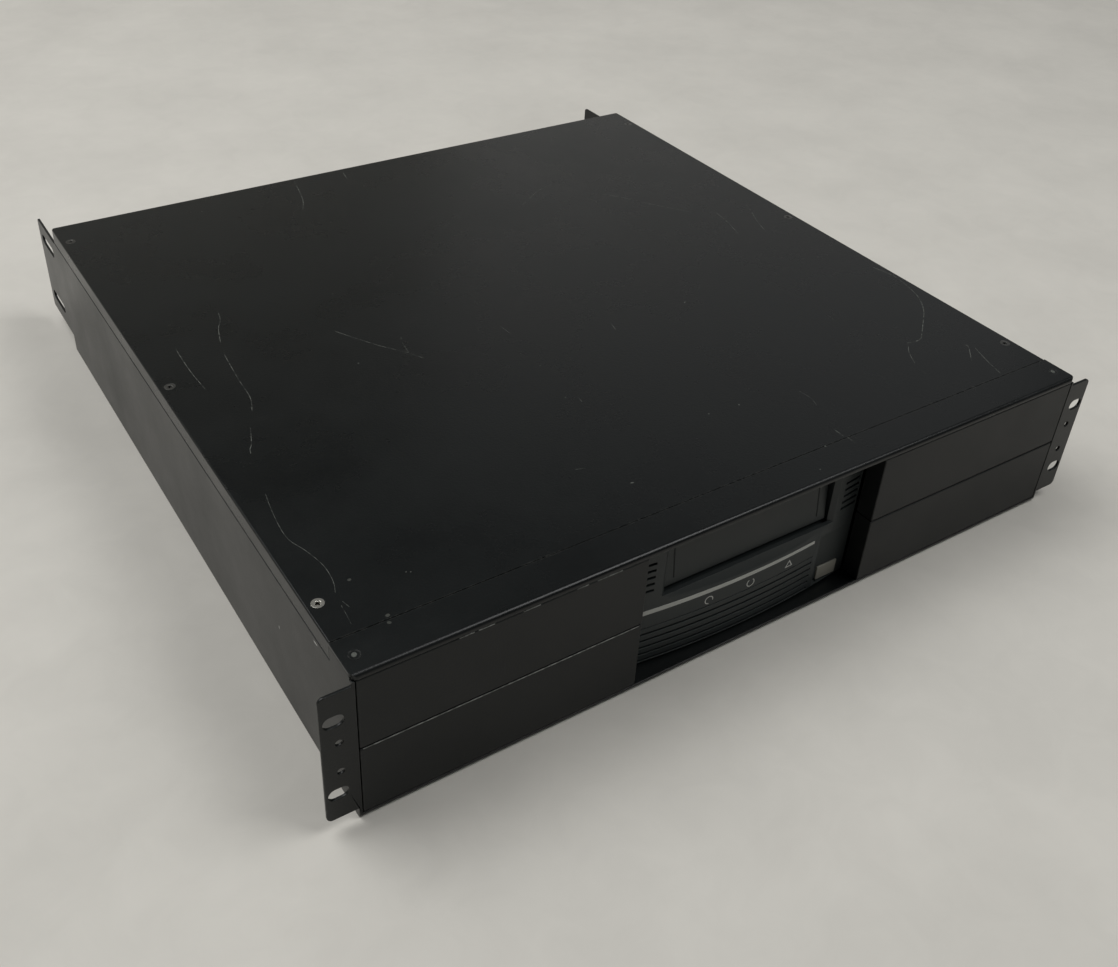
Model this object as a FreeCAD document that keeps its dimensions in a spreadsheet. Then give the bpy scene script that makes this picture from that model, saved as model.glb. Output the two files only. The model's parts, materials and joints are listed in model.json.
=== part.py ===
import FreeCAD, Part
import os
import re

import Sketcher

# Rack tape drive: a two-unit, three-bay enclosure with a full-height tape drive in its middle bay.
# Millimetres. +X is to the right seen from the front, +Y runs to the rear and +Z is up. The origin
# lies under the enclosure, in the middle of its overall width and depth.

SIZES = {
    # enclosure sheet metal
    "case_width": 446.0,
    "case_height": 88.5,
    "case_depth": 444.0,
    "sheet": 1.6,
    "floor_lip": 3.0,
    "header_depth": 21.5,
    "header_lip": 3.0,
    "header_ledge": 10.0,
    "header_corner": 3.5,
    "header_bend": 2.2,
    "post_tab": 13.0,
    "rivet_inset": 6.5,
    "rivet_setback": 10.5,
    "rivet_radius": 1.5,
    "rivet_head": 2.7,
    # rack ears and rear support tabs
    "ear_reach": 15.0,
    "ear_bottom": 7.0,
    "ear_drop": 5.5,
    "ear_corner": 3.0,
    "slot_reach": 8.75,
    "slot_spacing_z": 44.45,
    "slot_length": 9.5,
    "slot_width": 6.5,
    "slot_raise": 0.75,
    "ear_hole_reach": 7.0,
    "ear_hole_spacing_z": 17.6,
    "ear_hole_radius": 1.7,
    "tab_reach": 42.0,
    "tab_bottom": 11.5,
    "tab_drop": 11.0,
    "tab_notch": 5.3,
    "tab_corner": 2.0,
    "tab_slot_length": 28.0,
    "tab_slot_width": 6.5,
    "tab_slot_spacing": 42.0,
    "tab_slot_setback": 21.5,
    # lid, its rails and screws
    "lid_sheet": 1.2,
    "lid_skirt": 9.5,
    "lid_gap": 0.4,
    "lid_corner": 2.0,
    "lid_bend": 1.0,
    "skirt_play": 0.2,
    "rail_sheet": 1.5,
    "rail_leg": 26.0,
    "rail_flange": 13.0,
    "rail_setback": 14.0,
    "screw_radius": 1.5,
    "screw_head": 3.1,
    "screw_length": 6.0,
    "screw_play": 0.05,
    "lid_screw_inset": 6.0,
    "lid_screw_front": 45.0,
    "lid_screw_rear": 24.0,
    # blanking panels
    "bay_gap": 0.7,
    "panel_gap": 0.4,
    "panel_split": 0.8,
    "panel_sheet": 1.5,
    "panel_return": 11.0,
    "panel_edge": 0.7,
    # bay dividers
    "divider_sheet": 1.5,
    "divider_play": 0.25,
    "divider_gap": 2.3,
    "divider_depth": 240.0,
    "divider_headroom": 7.3,
    "divider_foot": 10.0,
    "drive_screw_front": 60.0,
    "drive_screw_pitch": 120.0,
    "drive_screw_height": 22.0,
    "drive_screw_grip": 2.4,
    "pan_head_radius": 2.8,
    "pan_head_height": 1.2,
    # drive casing
    "drive_width": 146.0,
    "drive_headroom": 1.4,
    "drive_length": 232.0,
    "drive_rise": 1.4,
    "drive_wall": 3.0,
    "drive_floor_setback": 9.3,
    "cover_sheet": 1.2,
    "cover_screw_inset": 1.5,
    "cover_screw_radius": 1.0,
    "cover_screw_head": 1.4,
    "cover_screw_setback": 30.0,
    "deck_height": 29.5,
    "deck_sheet": 2.5,
    "deck_play": 0.3,
    "deck_setback": 8.3,
    "ledge_width": 4.0,
    "ledge_height": 3.0,
    # drive bezel
    "bezel_overhang": 1.3,
    "bezel_trim": 0.5,
    "bezel_recess": 6.7,
    "bezel_depth": 15.0,
    "bow_radius": 535.0,
    "belly_bulge": 2.6,
    "belly_height": 41.8,
    "belly_slope": 4.0,
    "throat_side": 20.7,
    "throat_sill": 42.5,
    "throat_rim": 1.8,
    "throat_undercut": 1.6,
    "flare_side": 3.4,
    "flare_sill": 0.3,
    "flare_depth": 2.4,
    "vent_height": 1.5,
    "vent_pitch": 4.25,
    "vent_low": 47.5,
    "vent_length": 11.9,
    "vent_margin": 1.2,
    "louvre_height": 1.3,
    "louvre_pitch": 4.5,
    "louvre_low": 0.85,
    "louvre_margin": 4.5,
    "louvre_gap": 3.8,
    "louvre_line": 0.5,
    "louvre_line_gap": 3.2,
    "louvre_line_depth": 0.5,
    "stripe_height": 2.8,
    "stripe_tip": 1.9,
    "stripe_low": 32.8,
    "stripe_inset": 0.6,
    "stripe_proud": 0.2,
    "stripe_gap": 5.0,
    "stripe_margin": 1.0,
    "light_radius": 2.4,
    "light_pitch": 26.6,
    "light_height": 27.5,
    "light_skin": 0.9,
    "light_play": 0.06,
    "label_width": 24.0,
    "label_margin": 1.0,
    "label_low": 0.9,
    "label_height": 33.8,
    "label_floor": 4.8,
    # cartridge door
    "door_gap": 0.4,
    "door_recess": 3.6,
    "door_lean": 3.6,
    "door_sill_gap": 1.2,
    "door_sheet": 2.6,
    "door_barrel": 2.8,
    "door_groove_inset": 6.2,
    "door_groove_width": 0.8,
    "door_groove_depth": 0.6,
    "door_groove_low": 3.4,
    "pin_radius": 1.0,
    "pin_play": 0.05,
    "pin_seat": 3.0,
    "pin_grip": 5.0,
    "spring_bay": 6.0,
    "spring_wire": 0.5,
    "spring_play": 0.3,
    "spring_leg": 12.0,
    # eject button and front board
    "button_width": 14.0,
    "button_height": 9.0,
    "button_inset": 13.1,
    "button_low": 1.1,
    "button_proud": 0.7,
    "button_edge": 0.5,
    "button_play": 0.35,
    "button_flange": 1.2,
    "button_flange_rim": 1.2,
    "button_travel": 1.5,
    "button_stem_radius": 2.2,
    "button_stem": 1.0,
    "switch_size": 6.0,
    "board_sheet": 1.6,
    "front_board_height": 33.0,
    "front_board_margin": 4.0,
    # cartridge receiver
    "receiver_play": 0.4,
    "receiver_sheet": 1.2,
    "receiver_gap": 2.3,
    "receiver_rear_gap": 7.0,
    "receiver_drop": 0.9,
    "receiver_skirt": 2.8,
    "receiver_headroom": 3.3,
    "receiver_hole": 17.0,
    # reel drives
    "hub_inset": 48.0,
    "motor_radius": 21.0,
    "motor_height": 9.0,
    "shaft_radius": 2.5,
    "shaft_length": 7.5,
    "shaft_play": 0.05,
    "run_gap": 0.4,
    "hub_flange_radius": 19.0,
    "hub_flange": 2.0,
    "hub_radius": 13.0,
    "hub_tooth_radius": 10.5,
    "hub_tooth_depth": 1.2,
    "hub_stop": 0.5,
    "reel_rear_gap": 12.7,
    "reel_radius": 45.0,
    "reel_hub_radius": 18.0,
    "reel_boss_radius": 8.0,
    "reel_boss": 2.6,
    "reel_flange": 1.2,
    "tape_width": 13.2,
    "reel_window_root": 23.0,
    "reel_window_tip": 40.0,
    "reel_window_half": 7.0,
    # tape guide rollers
    "roller_radius": 6.0,
    "roller_rim": 0.9,
    "roller_flange": 1.2,
    "post_radius": 1.6,
    "post_play": 0.06,
    "post_foot_radius": 4.2,
    "post_cap_radius": 3.0,
    "post_cap": 1.0,
    "roller_gap": 1.0,
    "roller_one_reach": 20.0,
    "roller_one_step": 7.0,
    "roller_two_reach": 3.0,
    "roller_four_reach": 5.0,
    "roller_four_step": 19.0,
    # head lift
    "head_side_gap": 4.0,
    "head_y": 23.0,
    "head_width": 12.0,
    "head_depth": 32.0,
    "head_height": 15.0,
    "head_travel": 3.0,
    "rod_radius": 1.5,
    "rod_pitch": 25.0,
    "rod_play": 0.06,
    "stepper_radius": 7.5,
    "stepper_height": 6.5,
    "lead_radius": 2.0,
    "lead_play": 0.08,
    "bridge_sheet": 2.5,
    "read_head_depth": 4.0,
    "read_head_width": 12.0,
    "read_head_radius": 7.0,
    # controller board under the deck
    "board_height": 9.0,
    "board_margin": 5.0,
    "board_front": 40.0,
    "board_rear": 12.0,
    "standoff_radius": 2.5,
    "standoff_inset": 5.0,
    "chip_size": 24.0,
    "chip_height": 2.4,
    "chip_pitch": 44.0,
    "chip_front": 34.0,
    "data_plug_width": 60.0,
    "data_plug_height": 9.0,
    "data_plug_depth": 12.0,
    "power_plug_width": 22.0,
    "power_plug_height": 11.0,
    "power_plug_x": 47.0,
    "plug_proud": 1.5,
    "plug_play": 0.3,
    # power supply
    "supply_width": 104.0,
    "supply_length": 150.0,
    "supply_height": 46.0,
    "supply_side_gap": 6.0,
    "supply_rear_gap": 26.0,
    "supply_slot_width": 3.0,
    "supply_slot_pitch": 9.0,
    "supply_slot_depth": 1.5,
    # rear panel and what is in it
    "rear_flange": 12.0,
    "rear_flange_height": 44.0,
    "rear_gap": 0.3,
    "rear_drop": 0.25,
    "inlet_x": 184.0,
    "inlet_width": 27.0,
    "inlet_height": 20.0,
    "inlet_rim": 2.2,
    "inlet_corner": 3.0,
    "inlet_depth": 17.0,
    "inlet_wall": 1.4,
    "inlet_well": 15.0,
    "inlet_pin_length": 9.5,
    "inlet_pin_width": 2.0,
    "inlet_pin_height": 4.0,
    "inlet_pin_pitch": 7.0,
    "inlet_pin_rise": 2.0,
    "rocker_x": 146.0,
    "rocker_width": 8.8,
    "rocker_half": 7.3,
    "rocker_play": 0.9,
    "rocker_side_play": 0.35,
    "rocker_reach": 4.4,
    "rocker_dish": 1.9,
    "rocker_root": 4.0,
    "rocker_tilt": 8.0,
    "rocker_axle": 1.2,
    "rocker_axle_play": 0.05,
    "rocker_axle_reach": 1.4,
    "rocker_pivot": 2.0,
    "rocker_frame": 2.2,
    "rocker_rim": 1.6,
    "rocker_rim_height": 1.8,
    "rocker_depth": 13.0,
    "cutout_play": 0.2,
    "data_port_width": 52.0,
    "data_port_height": 9.0,
    "data_port_taper": 2.0,
    "data_port_reach": 6.0,
    "data_port_well": 3.4,
    "data_port_wall": 1.2,
    "data_port_rim": 6.0,
    "data_port_plate": 1.2,
    "data_port_body": 10.0,
    "data_port_pitch": 28.0,
    "ribbon_width": 50.0,
    "ribbon_sheet": 0.9,
    "ribbon_bend": 4.0,
    "ribbon_run": 60.0,
    # fan
    "fan_x": 150.0,
    "fan_size": 60.0,
    "fan_corner": 3.5,
    "fan_depth": 25.0,
    "fan_bore": 28.3,
    "fan_screw_spacing": 50.0,
    "fan_plate_radius": 14.0,
    "fan_plate": 3.0,
    "fan_strut": 4.0,
    "rotor_radius": 13.5,
    "rotor_length": 18.0,
    "rotor_shaft": 1.5,
    "rotor_play": 0.05,
    "blade_tip": 27.0,
    "blade_root": 12.5,
    "blade_sheet": 1.6,
    "blade_lean": 5.0,
    "blade_margin": 2.0,
    "guard_sheet": 1.2,
    "guard_wire": 0.8,
    "guard_pitch": 8.5,
    "guard_first": 9.5,
    "guard_eye": 3.8,
    "fan_screw_radius": 2.0,
    "fan_screw_length": 9.0,
}

BLADES = 7
REEL_WINDOWS = 6
VENT_ROWS = 5
LOUVRES = 5
GUARD_RINGS = 3
GUARD_SPOKES = (45, -45)
CHIP_ROWS = 3
SUPPLY_SLOTS = 8
DATA_PORTS = 2

# Places that follow from the sizes
DERIVED = {
    "front": "-(case_depth + tab_reach) / 2",
    "case_back": "front + case_depth",
    "case_half": "case_width / 2",
    "wall_in": "case_half - sheet",
    "skirt_bottom": "case_height - lid_skirt",
    "wall_top": "skirt_bottom - lid_gap",
    "lip_bottom": "case_height - header_lip",
    "header_under": "case_height - sheet",
    "header_back": "front + header_depth",
    "lid_under": "case_height - lid_sheet",
    "lid_front": "header_back + lid_gap",
    "lid_half": "wall_in + skirt_play + lid_sheet",
    "rail_front": "header_back + rail_setback",
    "rear_face": "case_back - lid_sheet - lid_gap",
    "rear_inside": "rear_face - sheet",
    "rear_half": "wall_in - rear_gap",
    "ear_top": "case_height - ear_drop",
    "tab_top": "case_height - tab_drop",
    "slot_middle": "case_height / 2 + slot_raise",
    "slot_x": "case_half + slot_reach",
    "ear_hole_x": "case_half + ear_hole_reach",
    "rear_level": "case_height / 2 - rear_drop",
    "panel_bottom": "floor_lip + panel_gap",
    "panel_top": "lip_bottom - panel_gap",
    "panel_height": "(panel_top - panel_bottom - panel_split) / 2",
    "bay_half": "bezel_half + bay_gap",
    "drive_half": "drive_width / 2",
    "drive_bottom": "sheet + drive_rise",
    "drive_top": "header_under - drive_headroom",
    "cover_bottom": "drive_top - cover_sheet",
    "base_front": "bezel_back",
    "base_back": "base_front + drive_length",
    "base_floor": "drive_bottom + drive_wall",
    "cavity_half": "drive_half - drive_wall",
    "floor_front": "base_front + drive_floor_setback",
    "deck_bottom": "drive_bottom + deck_height - deck_sheet",
    "deck_top": "drive_bottom + deck_height",
    "deck_front": "floor_front + deck_setback",
    "divider_in": "drive_half + divider_play",
    "divider_front": "bezel_back + divider_gap",
    "divider_top": "header_under - divider_headroom",
    "drive_screw_y": "base_front + drive_screw_front",
    "drive_screw_z": "drive_bottom + drive_screw_height",
    "bezel_half": "drive_half + bezel_overhang",
    "bezel_top": "drive_top - bezel_trim",
    "belly_face": "front + bezel_recess",
    "upper_face": "belly_face + belly_bulge",
    "bezel_back": "belly_face + bezel_depth",
    "belly_top": "drive_bottom + belly_height",
    "bow_axis": "belly_face + bow_radius",
    "throat_bottom": "drive_bottom + throat_sill",
    "throat_top": "bezel_top - throat_rim",
    "throat_half": "bezel_half - throat_side",
    "cheek_half": "throat_half + throat_undercut",
    "vent_right": "bezel_half - vent_margin",
    "vent_left": "vent_right - vent_length",
    "label_right": "bezel_half - label_margin",
    "label_left": "label_right - label_width",
    "label_face": "belly_face + label_floor",
    "louvre_right": "label_left - louvre_gap",
    "stripe_right": "label_left - stripe_gap",
    "stripe_left": "stripe_margin - bezel_half",
    "stripe_z": "drive_bottom + stripe_low + stripe_height / 2",
    "louvre_left": "louvre_margin - bezel_half",
    "louvre_bottom": "drive_bottom + louvre_low",
    "door_front": "upper_face + door_recess",
    "door_back": "door_front + door_sheet",
    "door_half": "throat_half - door_gap",
    "door_bottom": "throat_bottom + door_sill_gap",
    "hinge_y": "door_front + door_lean + door_barrel",
    "hinge_z": "throat_top - door_gap - door_barrel",
    "leaf_height": "hinge_z - door_bottom",
    "button_x": "bezel_half - button_inset",
    "button_z": "drive_bottom + button_low + button_height / 2",
    "button_front": "label_face - button_proud",
    "flange_front": "bezel_back + button_play",
    "flange_back": "flange_front + button_flange",
    "stem_back": "flange_back + button_stem",
    "switch_front": "stem_back + button_travel + button_play",
    "front_board_y": "floor_front - board_sheet",
    "front_board_top": "drive_bottom + front_board_height",
    "light_z": "drive_bottom + light_height",
    "receiver_half": "throat_half + receiver_play",
    "receiver_front": "hinge_y + door_barrel + receiver_gap",
    "receiver_back": "roller_one_y - roller_radius - receiver_rear_gap",
    "receiver_floor": "throat_bottom - receiver_drop",
    "receiver_shoulder": "receiver_floor - receiver_skirt",
    "receiver_top": "cover_bottom - receiver_headroom",
    "hub_y": "receiver_back - hub_inset",
    "motor_top": "deck_top + motor_height",
    "takeup_y": "base_back - drive_wall - reel_radius - reel_rear_gap",
    "reel_bottom": "motor_top + run_gap + reel_boss",
    "tape_low": "reel_bottom + reel_flange",
    "tape_high": "tape_low + tape_width",
    "head_mid_x": "-(cavity_half - head_side_gap - head_width / 2)",
    "head_mid_y": "takeup_y - head_y",
    "roller_one_x": "head_mid_x + roller_one_reach",
    "roller_one_y": "roller_two_y - roller_one_step",
    "roller_two_x": "head_mid_x + roller_two_reach",
    "roller_two_y": "head_mid_y - head_depth / 2 - roller_radius - roller_gap",
    "roller_three_x": "head_mid_x",
    "roller_three_y": "head_mid_y + head_depth / 2 + roller_radius + roller_gap",
    "roller_four_x": "head_mid_x + roller_four_reach",
    "roller_four_y": "roller_three_y + roller_four_step",
    "head_low": "(tape_low + tape_high - head_height) / 2",
    "head_high": "head_low + head_height",
    "stepper_top": "deck_top + stepper_height",
    "bridge_low": "head_high + head_travel + bridge_sheet",
    "board_bottom": "drive_bottom + board_height",
    "board_top": "board_bottom + board_sheet",
    "board_half": "cavity_half - board_margin",
    "board_y": "front + board_front",
    "board_back": "base_back - board_rear",
    "plug_back": "base_back + plug_proud",
    "inlet_mid": "-inlet_x",
    "rocker_mid": "-rocker_x",
    "rocker_axis": "rear_face - rocker_pivot",
    "rocker_case_half": "rocker_half + rocker_play + rocker_frame",
    "rocker_case_width": "rocker_width + 2 * rocker_side_play + 2 * rocker_frame",
    "supply_left": "-(wall_in - supply_side_gap)",
    "supply_front": "rear_inside - supply_rear_gap - supply_length",
    "fan_front": "rear_inside - fan_depth",
    "fan_low": "rear_level - fan_size / 2",
    "fan_left": "fan_x - fan_size / 2",
    "fan_plate_front": "rear_inside - fan_plate",
    "rotor_back": "fan_plate_front - run_gap",
    "ribbon_z": "board_top + data_plug_height / 2",
    "data_port_low": "rear_level - data_port_pitch / 2",
    "ribbon_end": "rear_inside - data_port_body",
    "riser_y": "plug_back + ribbon_run",
}

WORD = re.compile(r"[a-z][a-z_]*")
TURN = {
    "x": FreeCAD.Rotation(FreeCAD.Vector(0, 0, 1), FreeCAD.Vector(1, 0, 0)),
    "y": FreeCAD.Rotation(FreeCAD.Vector(0, 0, 1), FreeCAD.Vector(0, 1, 0)),
    "z": FreeCAD.Rotation(),
}
NEAR = 1e-4
SKETCH_RADIUS = 10

doc = FreeCAD.newDocument("rack_tape_drive")
sheet = doc.addObject("Spreadsheet::Sheet", "sizes")
for row, (alias, value) in enumerate(SIZES.items(), start=1):
    sheet.set(f"A{row}", alias.replace("_", " "))
    sheet.set(f"B{row}", str(value))
    sheet.setAlias(f"B{row}", alias)
doc.recompute()

nodes = []


def formula(text):
    """Spell a formula in sheet terms: a size becomes its cell, a derived place its own formula."""

    def spell(match):
        word = match.group()
        if word in DERIVED:
            return "(" + formula(DERIVED[word]) + ")"
        return "sizes." + word if word in SIZES else word

    return WORD.sub(spell, text)


def bind(item, **rules):
    """Bind properties of an object to formulas."""
    for name, text in rules.items():
        item.setExpression(name, formula(text))


def place(item, spot, axis="z"):
    """Put an object at a spot given by three formulas, with its own Z along the named axis."""
    item.Placement = FreeCAD.Placement(FreeCAD.Vector(), TURN[axis])
    for letter, text in zip("xyz", spot):
        item.setExpression("Placement.Base." + letter, formula(text))
    return item


def node(item, label):
    """Name a finished sub-part after the file it is written to."""
    item.Label = label
    nodes.append(item)
    return item


def box(name, low, size):
    item = doc.addObject("Part::Box", name)
    bind(item, Length=size[0], Width=size[1], Height=size[2])
    return place(item, low)


def span(name, low, high):
    """Box between two corners."""
    return box(name, low, [f"({top}) - ({bottom})" for bottom, top in zip(low, high)])


def cylinder(name, base, radius, length, axis="z"):
    item = doc.addObject("Part::Cylinder", name)
    bind(item, Radius=radius, Height=length)
    return place(item, base, axis)


def cone(name, base, low_radius, high_radius, length, axis="z"):
    item = doc.addObject("Part::Cone", name)
    bind(item, Radius1=low_radius, Radius2=high_radius, Height=length)
    return place(item, base, axis)


def fuse(name, *items):
    item = doc.addObject("Part::MultiFuse", name)
    item.Shapes = list(items)
    item.Refine = True
    return item


def group(name, *items):
    """Several separate solids in one sub-part."""
    item = doc.addObject("Part::Compound", name)
    item.Links = list(items)
    return item


def cut(name, base, *tools):
    item = doc.addObject("Part::Cut", name)
    item.Base = base
    item.Tool = tools[0] if len(tools) == 1 else group(name + "_tools", *tools)
    return item


def common(name, base, tool):
    item = doc.addObject("Part::Common", name)
    item.Base = base
    item.Tool = tool
    return item


def slot(name, centre, length, width, depth, along, axis):
    """Round-ended slot tool through a sheet: along is the slot's long axis, axis the way it is cut."""
    long_index = "xyz".index(along)
    cut_index = "xyz".index(axis)
    wide_index = 3 - long_index - cut_index
    size = ["", "", ""]
    size[long_index] = f"({length}) - ({width})"
    size[wide_index] = width
    size[cut_index] = depth
    low = [f"({mid}) - ({extent}) / 2" for mid, extent in zip(centre, size)]
    ends = []
    for sign, end in ((-1, "a"), (1, "b")):
        base = list(centre)
        base[long_index] = f"({centre[long_index]}) + {sign} * (({length}) - ({width})) / 2"
        base[cut_index] = low[cut_index]
        ends.append(cylinder(f"{name}_{end}", base, f"({width}) / 2", depth, axis))
    return fuse(name, box(name + "_run", low, size), *ends)


def origin_feature(body, role):
    return next(item for item in body.Origin.OriginFeatures if item.Role == role)


def outline(body, name, plane, corners, start):
    """Closed sketch of straight sides on an origin plane moved by start; each corner is two formulas."""
    sketch = body.newObject("Sketcher::SketchObject", name)
    sketch.AttachmentSupport = [(origin_feature(body, plane), "")]
    sketch.MapMode = "FlatFace"
    towards_minus = plane == "XZ_Plane"
    sketch.setExpression("AttachmentOffset.Base.z", formula(f"-({start})" if towards_minus else start))
    count = len(corners)
    step = FreeCAD.Rotation(FreeCAD.Vector(0, 0, 1), 360.0 / count)
    spots = [FreeCAD.Vector(SKETCH_RADIUS, 0, 0)]
    for _ in corners[1:]:
        spots.append(step.multVec(spots[-1]))
    sides = [sketch.addGeometry(Part.LineSegment(spots[i], spots[(i + 1) % count])) for i in range(count)]
    for i in range(count):
        sketch.addConstraint(Sketcher.Constraint("Coincident", sides[i], 2, sides[(i + 1) % count], 1))
    for side, spot, corner in zip(sides, spots, corners):
        for kind, now, text in zip(("DistanceX", "DistanceY"), (spot.x, spot.y), corner):
            index = sketch.addConstraint(Sketcher.Constraint(kind, -1, 1, side, 1, now))
            sketch.setExpression(f"Constraints[{index}]", formula(text))
    return sketch


def pad(body, name, plane, corners, length, start="0"):
    """Raise an outline towards the positive axis of its plane."""
    feature_sketch = outline(body, name + "_outline", plane, corners, start)
    feature = body.newObject("PartDesign::Pad", name)
    feature.Profile = feature_sketch
    feature.Reversed = plane == "XZ_Plane"
    bind(feature, Length=length)
    return feature


def pocket(body, name, plane, corners, depth, start):
    """Cut an outline downwards from the plane at start."""
    feature_sketch = outline(body, name + "_outline", plane, corners, start)
    feature = body.newObject("PartDesign::Pocket", name)
    feature.Profile = feature_sketch
    bind(feature, Length=depth)
    return feature


def repeat(body, feature, count):
    """Repeat a feature around the body's own Z axis."""
    pattern = body.newObject("PartDesign::PolarPattern", feature.Name + "_round")
    pattern.Originals = [feature]
    pattern.Axis = (origin_feature(body, "Z_Axis"), [""])
    pattern.Angle = 360
    pattern.Occurrences = count
    body.Tip = pattern
    return pattern


def march(body, features, count, pitch, axis="Z_Axis"):
    """Repeat features in a straight row along one of the body's own axes."""
    pattern = body.newObject("PartDesign::LinearPattern", features[0].Name + "_row")
    pattern.Originals = features
    pattern.Direction = (origin_feature(body, axis), [""])
    pattern.Occurrences = count
    bind(pattern, Length=f"{count - 1} * {pitch}")
    body.Tip = pattern
    return pattern


def shell(body, name, thickness, test):
    """Hollow the body's last feature to a wall, open at the faces that pass the test."""
    doc.recompute()
    base = body.Tip
    names = [f"Face{i}" for i, face in enumerate(base.Shape.Faces, start=1) if test(face.CenterOfMass)]
    hollow = body.newObject("PartDesign::Thickness", name)
    hollow.Base = (base, names)
    hollow.Reversed = True
    hollow.Join = "Intersection"
    bind(hollow, Value=thickness)
    body.Tip = hollow
    return hollow


def round_edges(body, name, radius, test):
    """Fillet the edges of the body's last feature that pass the test."""
    doc.recompute()
    base = body.Tip
    names = [f"Edge{i}" for i, edge in enumerate(base.Shape.Edges, start=1) if test(edge)]
    fillet = body.newObject("PartDesign::Fillet", name)
    fillet.Base = (base, names)
    bind(fillet, Radius=radius)
    body.Tip = fillet
    return fillet


def upright(axis, at):
    """Edge test: straight along the axis, and at the given places on the other axes."""
    index = "xyz".index(axis)

    def test(edge):
        first, last = edge.Vertexes[0].Point, edge.Vertexes[-1].Point
        across = [abs(first[i] - last[i]) for i in range(3) if i != index]
        return max(across) < NEAR and all(abs(first[i] - value) < NEAR for i, value in at.items())

    return test


def prism(name, plane, corners, length, start="0"):
    """Body of one pad."""
    body = doc.addObject("PartDesign::Body", name)
    pad(body, name + "_pad", plane, corners, length, start)
    return body


def turned(name, corners, spot, axis="z"):
    """Body of one revolution: corners are radius and height, and its own Z axis is at the spot."""
    body = doc.addObject("PartDesign::Body", name)
    profile = outline(body, name + "_profile", "XZ_Plane", corners, "0")
    feature = body.newObject("PartDesign::Revolution", name + "_turn")
    feature.Profile = profile
    feature.ReferenceAxis = (profile, ["V_Axis"])
    feature.Angle = 360
    return place(body, spot, axis)


def rectangle(left, bottom, right, top):
    return [(left, bottom), (right, bottom), (right, top), (left, top)]


def rounded_block(name, corners, length, start, radius):
    """Block that is raised to the rear from an outline, with its four long edges rounded."""
    body = prism(name, "XZ_Plane", corners, length, start)
    round_edges(body, name + "_corners", radius, upright("y", {}))
    return body


SIDES = (("left", "-1"), ("right", "1"))


def chassis_tray():
    """Floor, side walls, rack ears and rear tabs of one folded sheet."""
    pieces = []
    tools = []
    side = [
        ("front", "0"),
        ("case_back - tab_notch", "0"),
        ("case_back - tab_notch", "tab_bottom"),
        ("case_back + tab_reach", "tab_bottom"),
        ("case_back + tab_reach", "tab_top"),
        ("case_back", "tab_top"),
        ("case_back", "wall_top"),
        ("header_back", "wall_top"),
        ("header_back", "header_under"),
        ("front + sheet + lid_gap", "header_under"),
        ("front + sheet + lid_gap", "lip_bottom - lid_gap"),
        ("front", "lip_bottom - lid_gap"),
    ]
    for name, sign in SIDES:
        wall = prism(f"{name}_wall", "YZ_Plane", side, "sheet",
                     f"{sign} * case_half - ({sign} + 1) / 2 * sheet")
        doc.recompute()
        rear = wall.Shape.BoundBox.YMax
        round_edges(wall, f"{name}_wall_corners", "tab_corner", upright("x", {1: rear}))
        ear = prism(
            f"{name}_ear",
            "XZ_Plane",
            rectangle(f"{sign} * wall_in", "ear_bottom", f"{sign} * (case_half + ear_reach)", "ear_top"),
            "sheet",
            "front",
        )
        doc.recompute()
        bounds = ear.Shape.BoundBox
        outer = bounds.XMin if name == "left" else bounds.XMax
        round_edges(ear, f"{name}_ear_corners", "ear_corner", upright("y", {0: outer}))
        tab = box(
            f"{name}_post_tab",
            (f"{sign} * wall_in - ({sign} + 1) / 2 * post_tab", "front + 3 * sheet",
             "header_under - sheet"),
            ("post_tab", "header_depth / 2", "sheet"),
        )
        pieces += [wall, ear, tab]
        tools.append(cylinder(
            f"{name}_post_hole",
            (f"{sign} * (case_half - rivet_inset)", "front + rivet_setback", "header_under - 2 * sheet"),
            "rivet_radius", "3 * sheet"))
        for level, up in (("low", "-1"), ("high", "1")):
            tools.append(slot(
                f"{name}_{level}_ear_slot",
                (f"{sign} * slot_x", "front + sheet / 2", f"slot_middle + {up} * slot_spacing_z / 2"),
                "slot_length", "slot_width", "2 * sheet", "x", "y"))
            tools.append(cylinder(
                f"{name}_{level}_ear_hole",
                (f"{sign} * ear_hole_x", "front - sheet", f"slot_middle + {up} * ear_hole_spacing_z / 2"),
                "ear_hole_radius", "3 * sheet", "y"))
            tools.append(slot(
                f"{name}_{level}_tab_slot",
                (f"{sign} * (case_half - sheet / 2)", "case_back + tab_slot_setback",
                 f"slot_middle + {up} * tab_slot_spacing / 2"),
                "tab_slot_length", "tab_slot_width", "2 * sheet", "y", "x"))
    floor = span("tray_floor", ("-wall_in", "front", "0"), ("wall_in", "case_back", "sheet"))
    lip = box("tray_lip", ("-wall_in", "front", "0"), ("2 * wall_in", "sheet", "floor_lip"))
    node(cut("chassis_tray", fuse("tray_sheet", floor, lip, *pieces), *tools), "chassis_tray")


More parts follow.
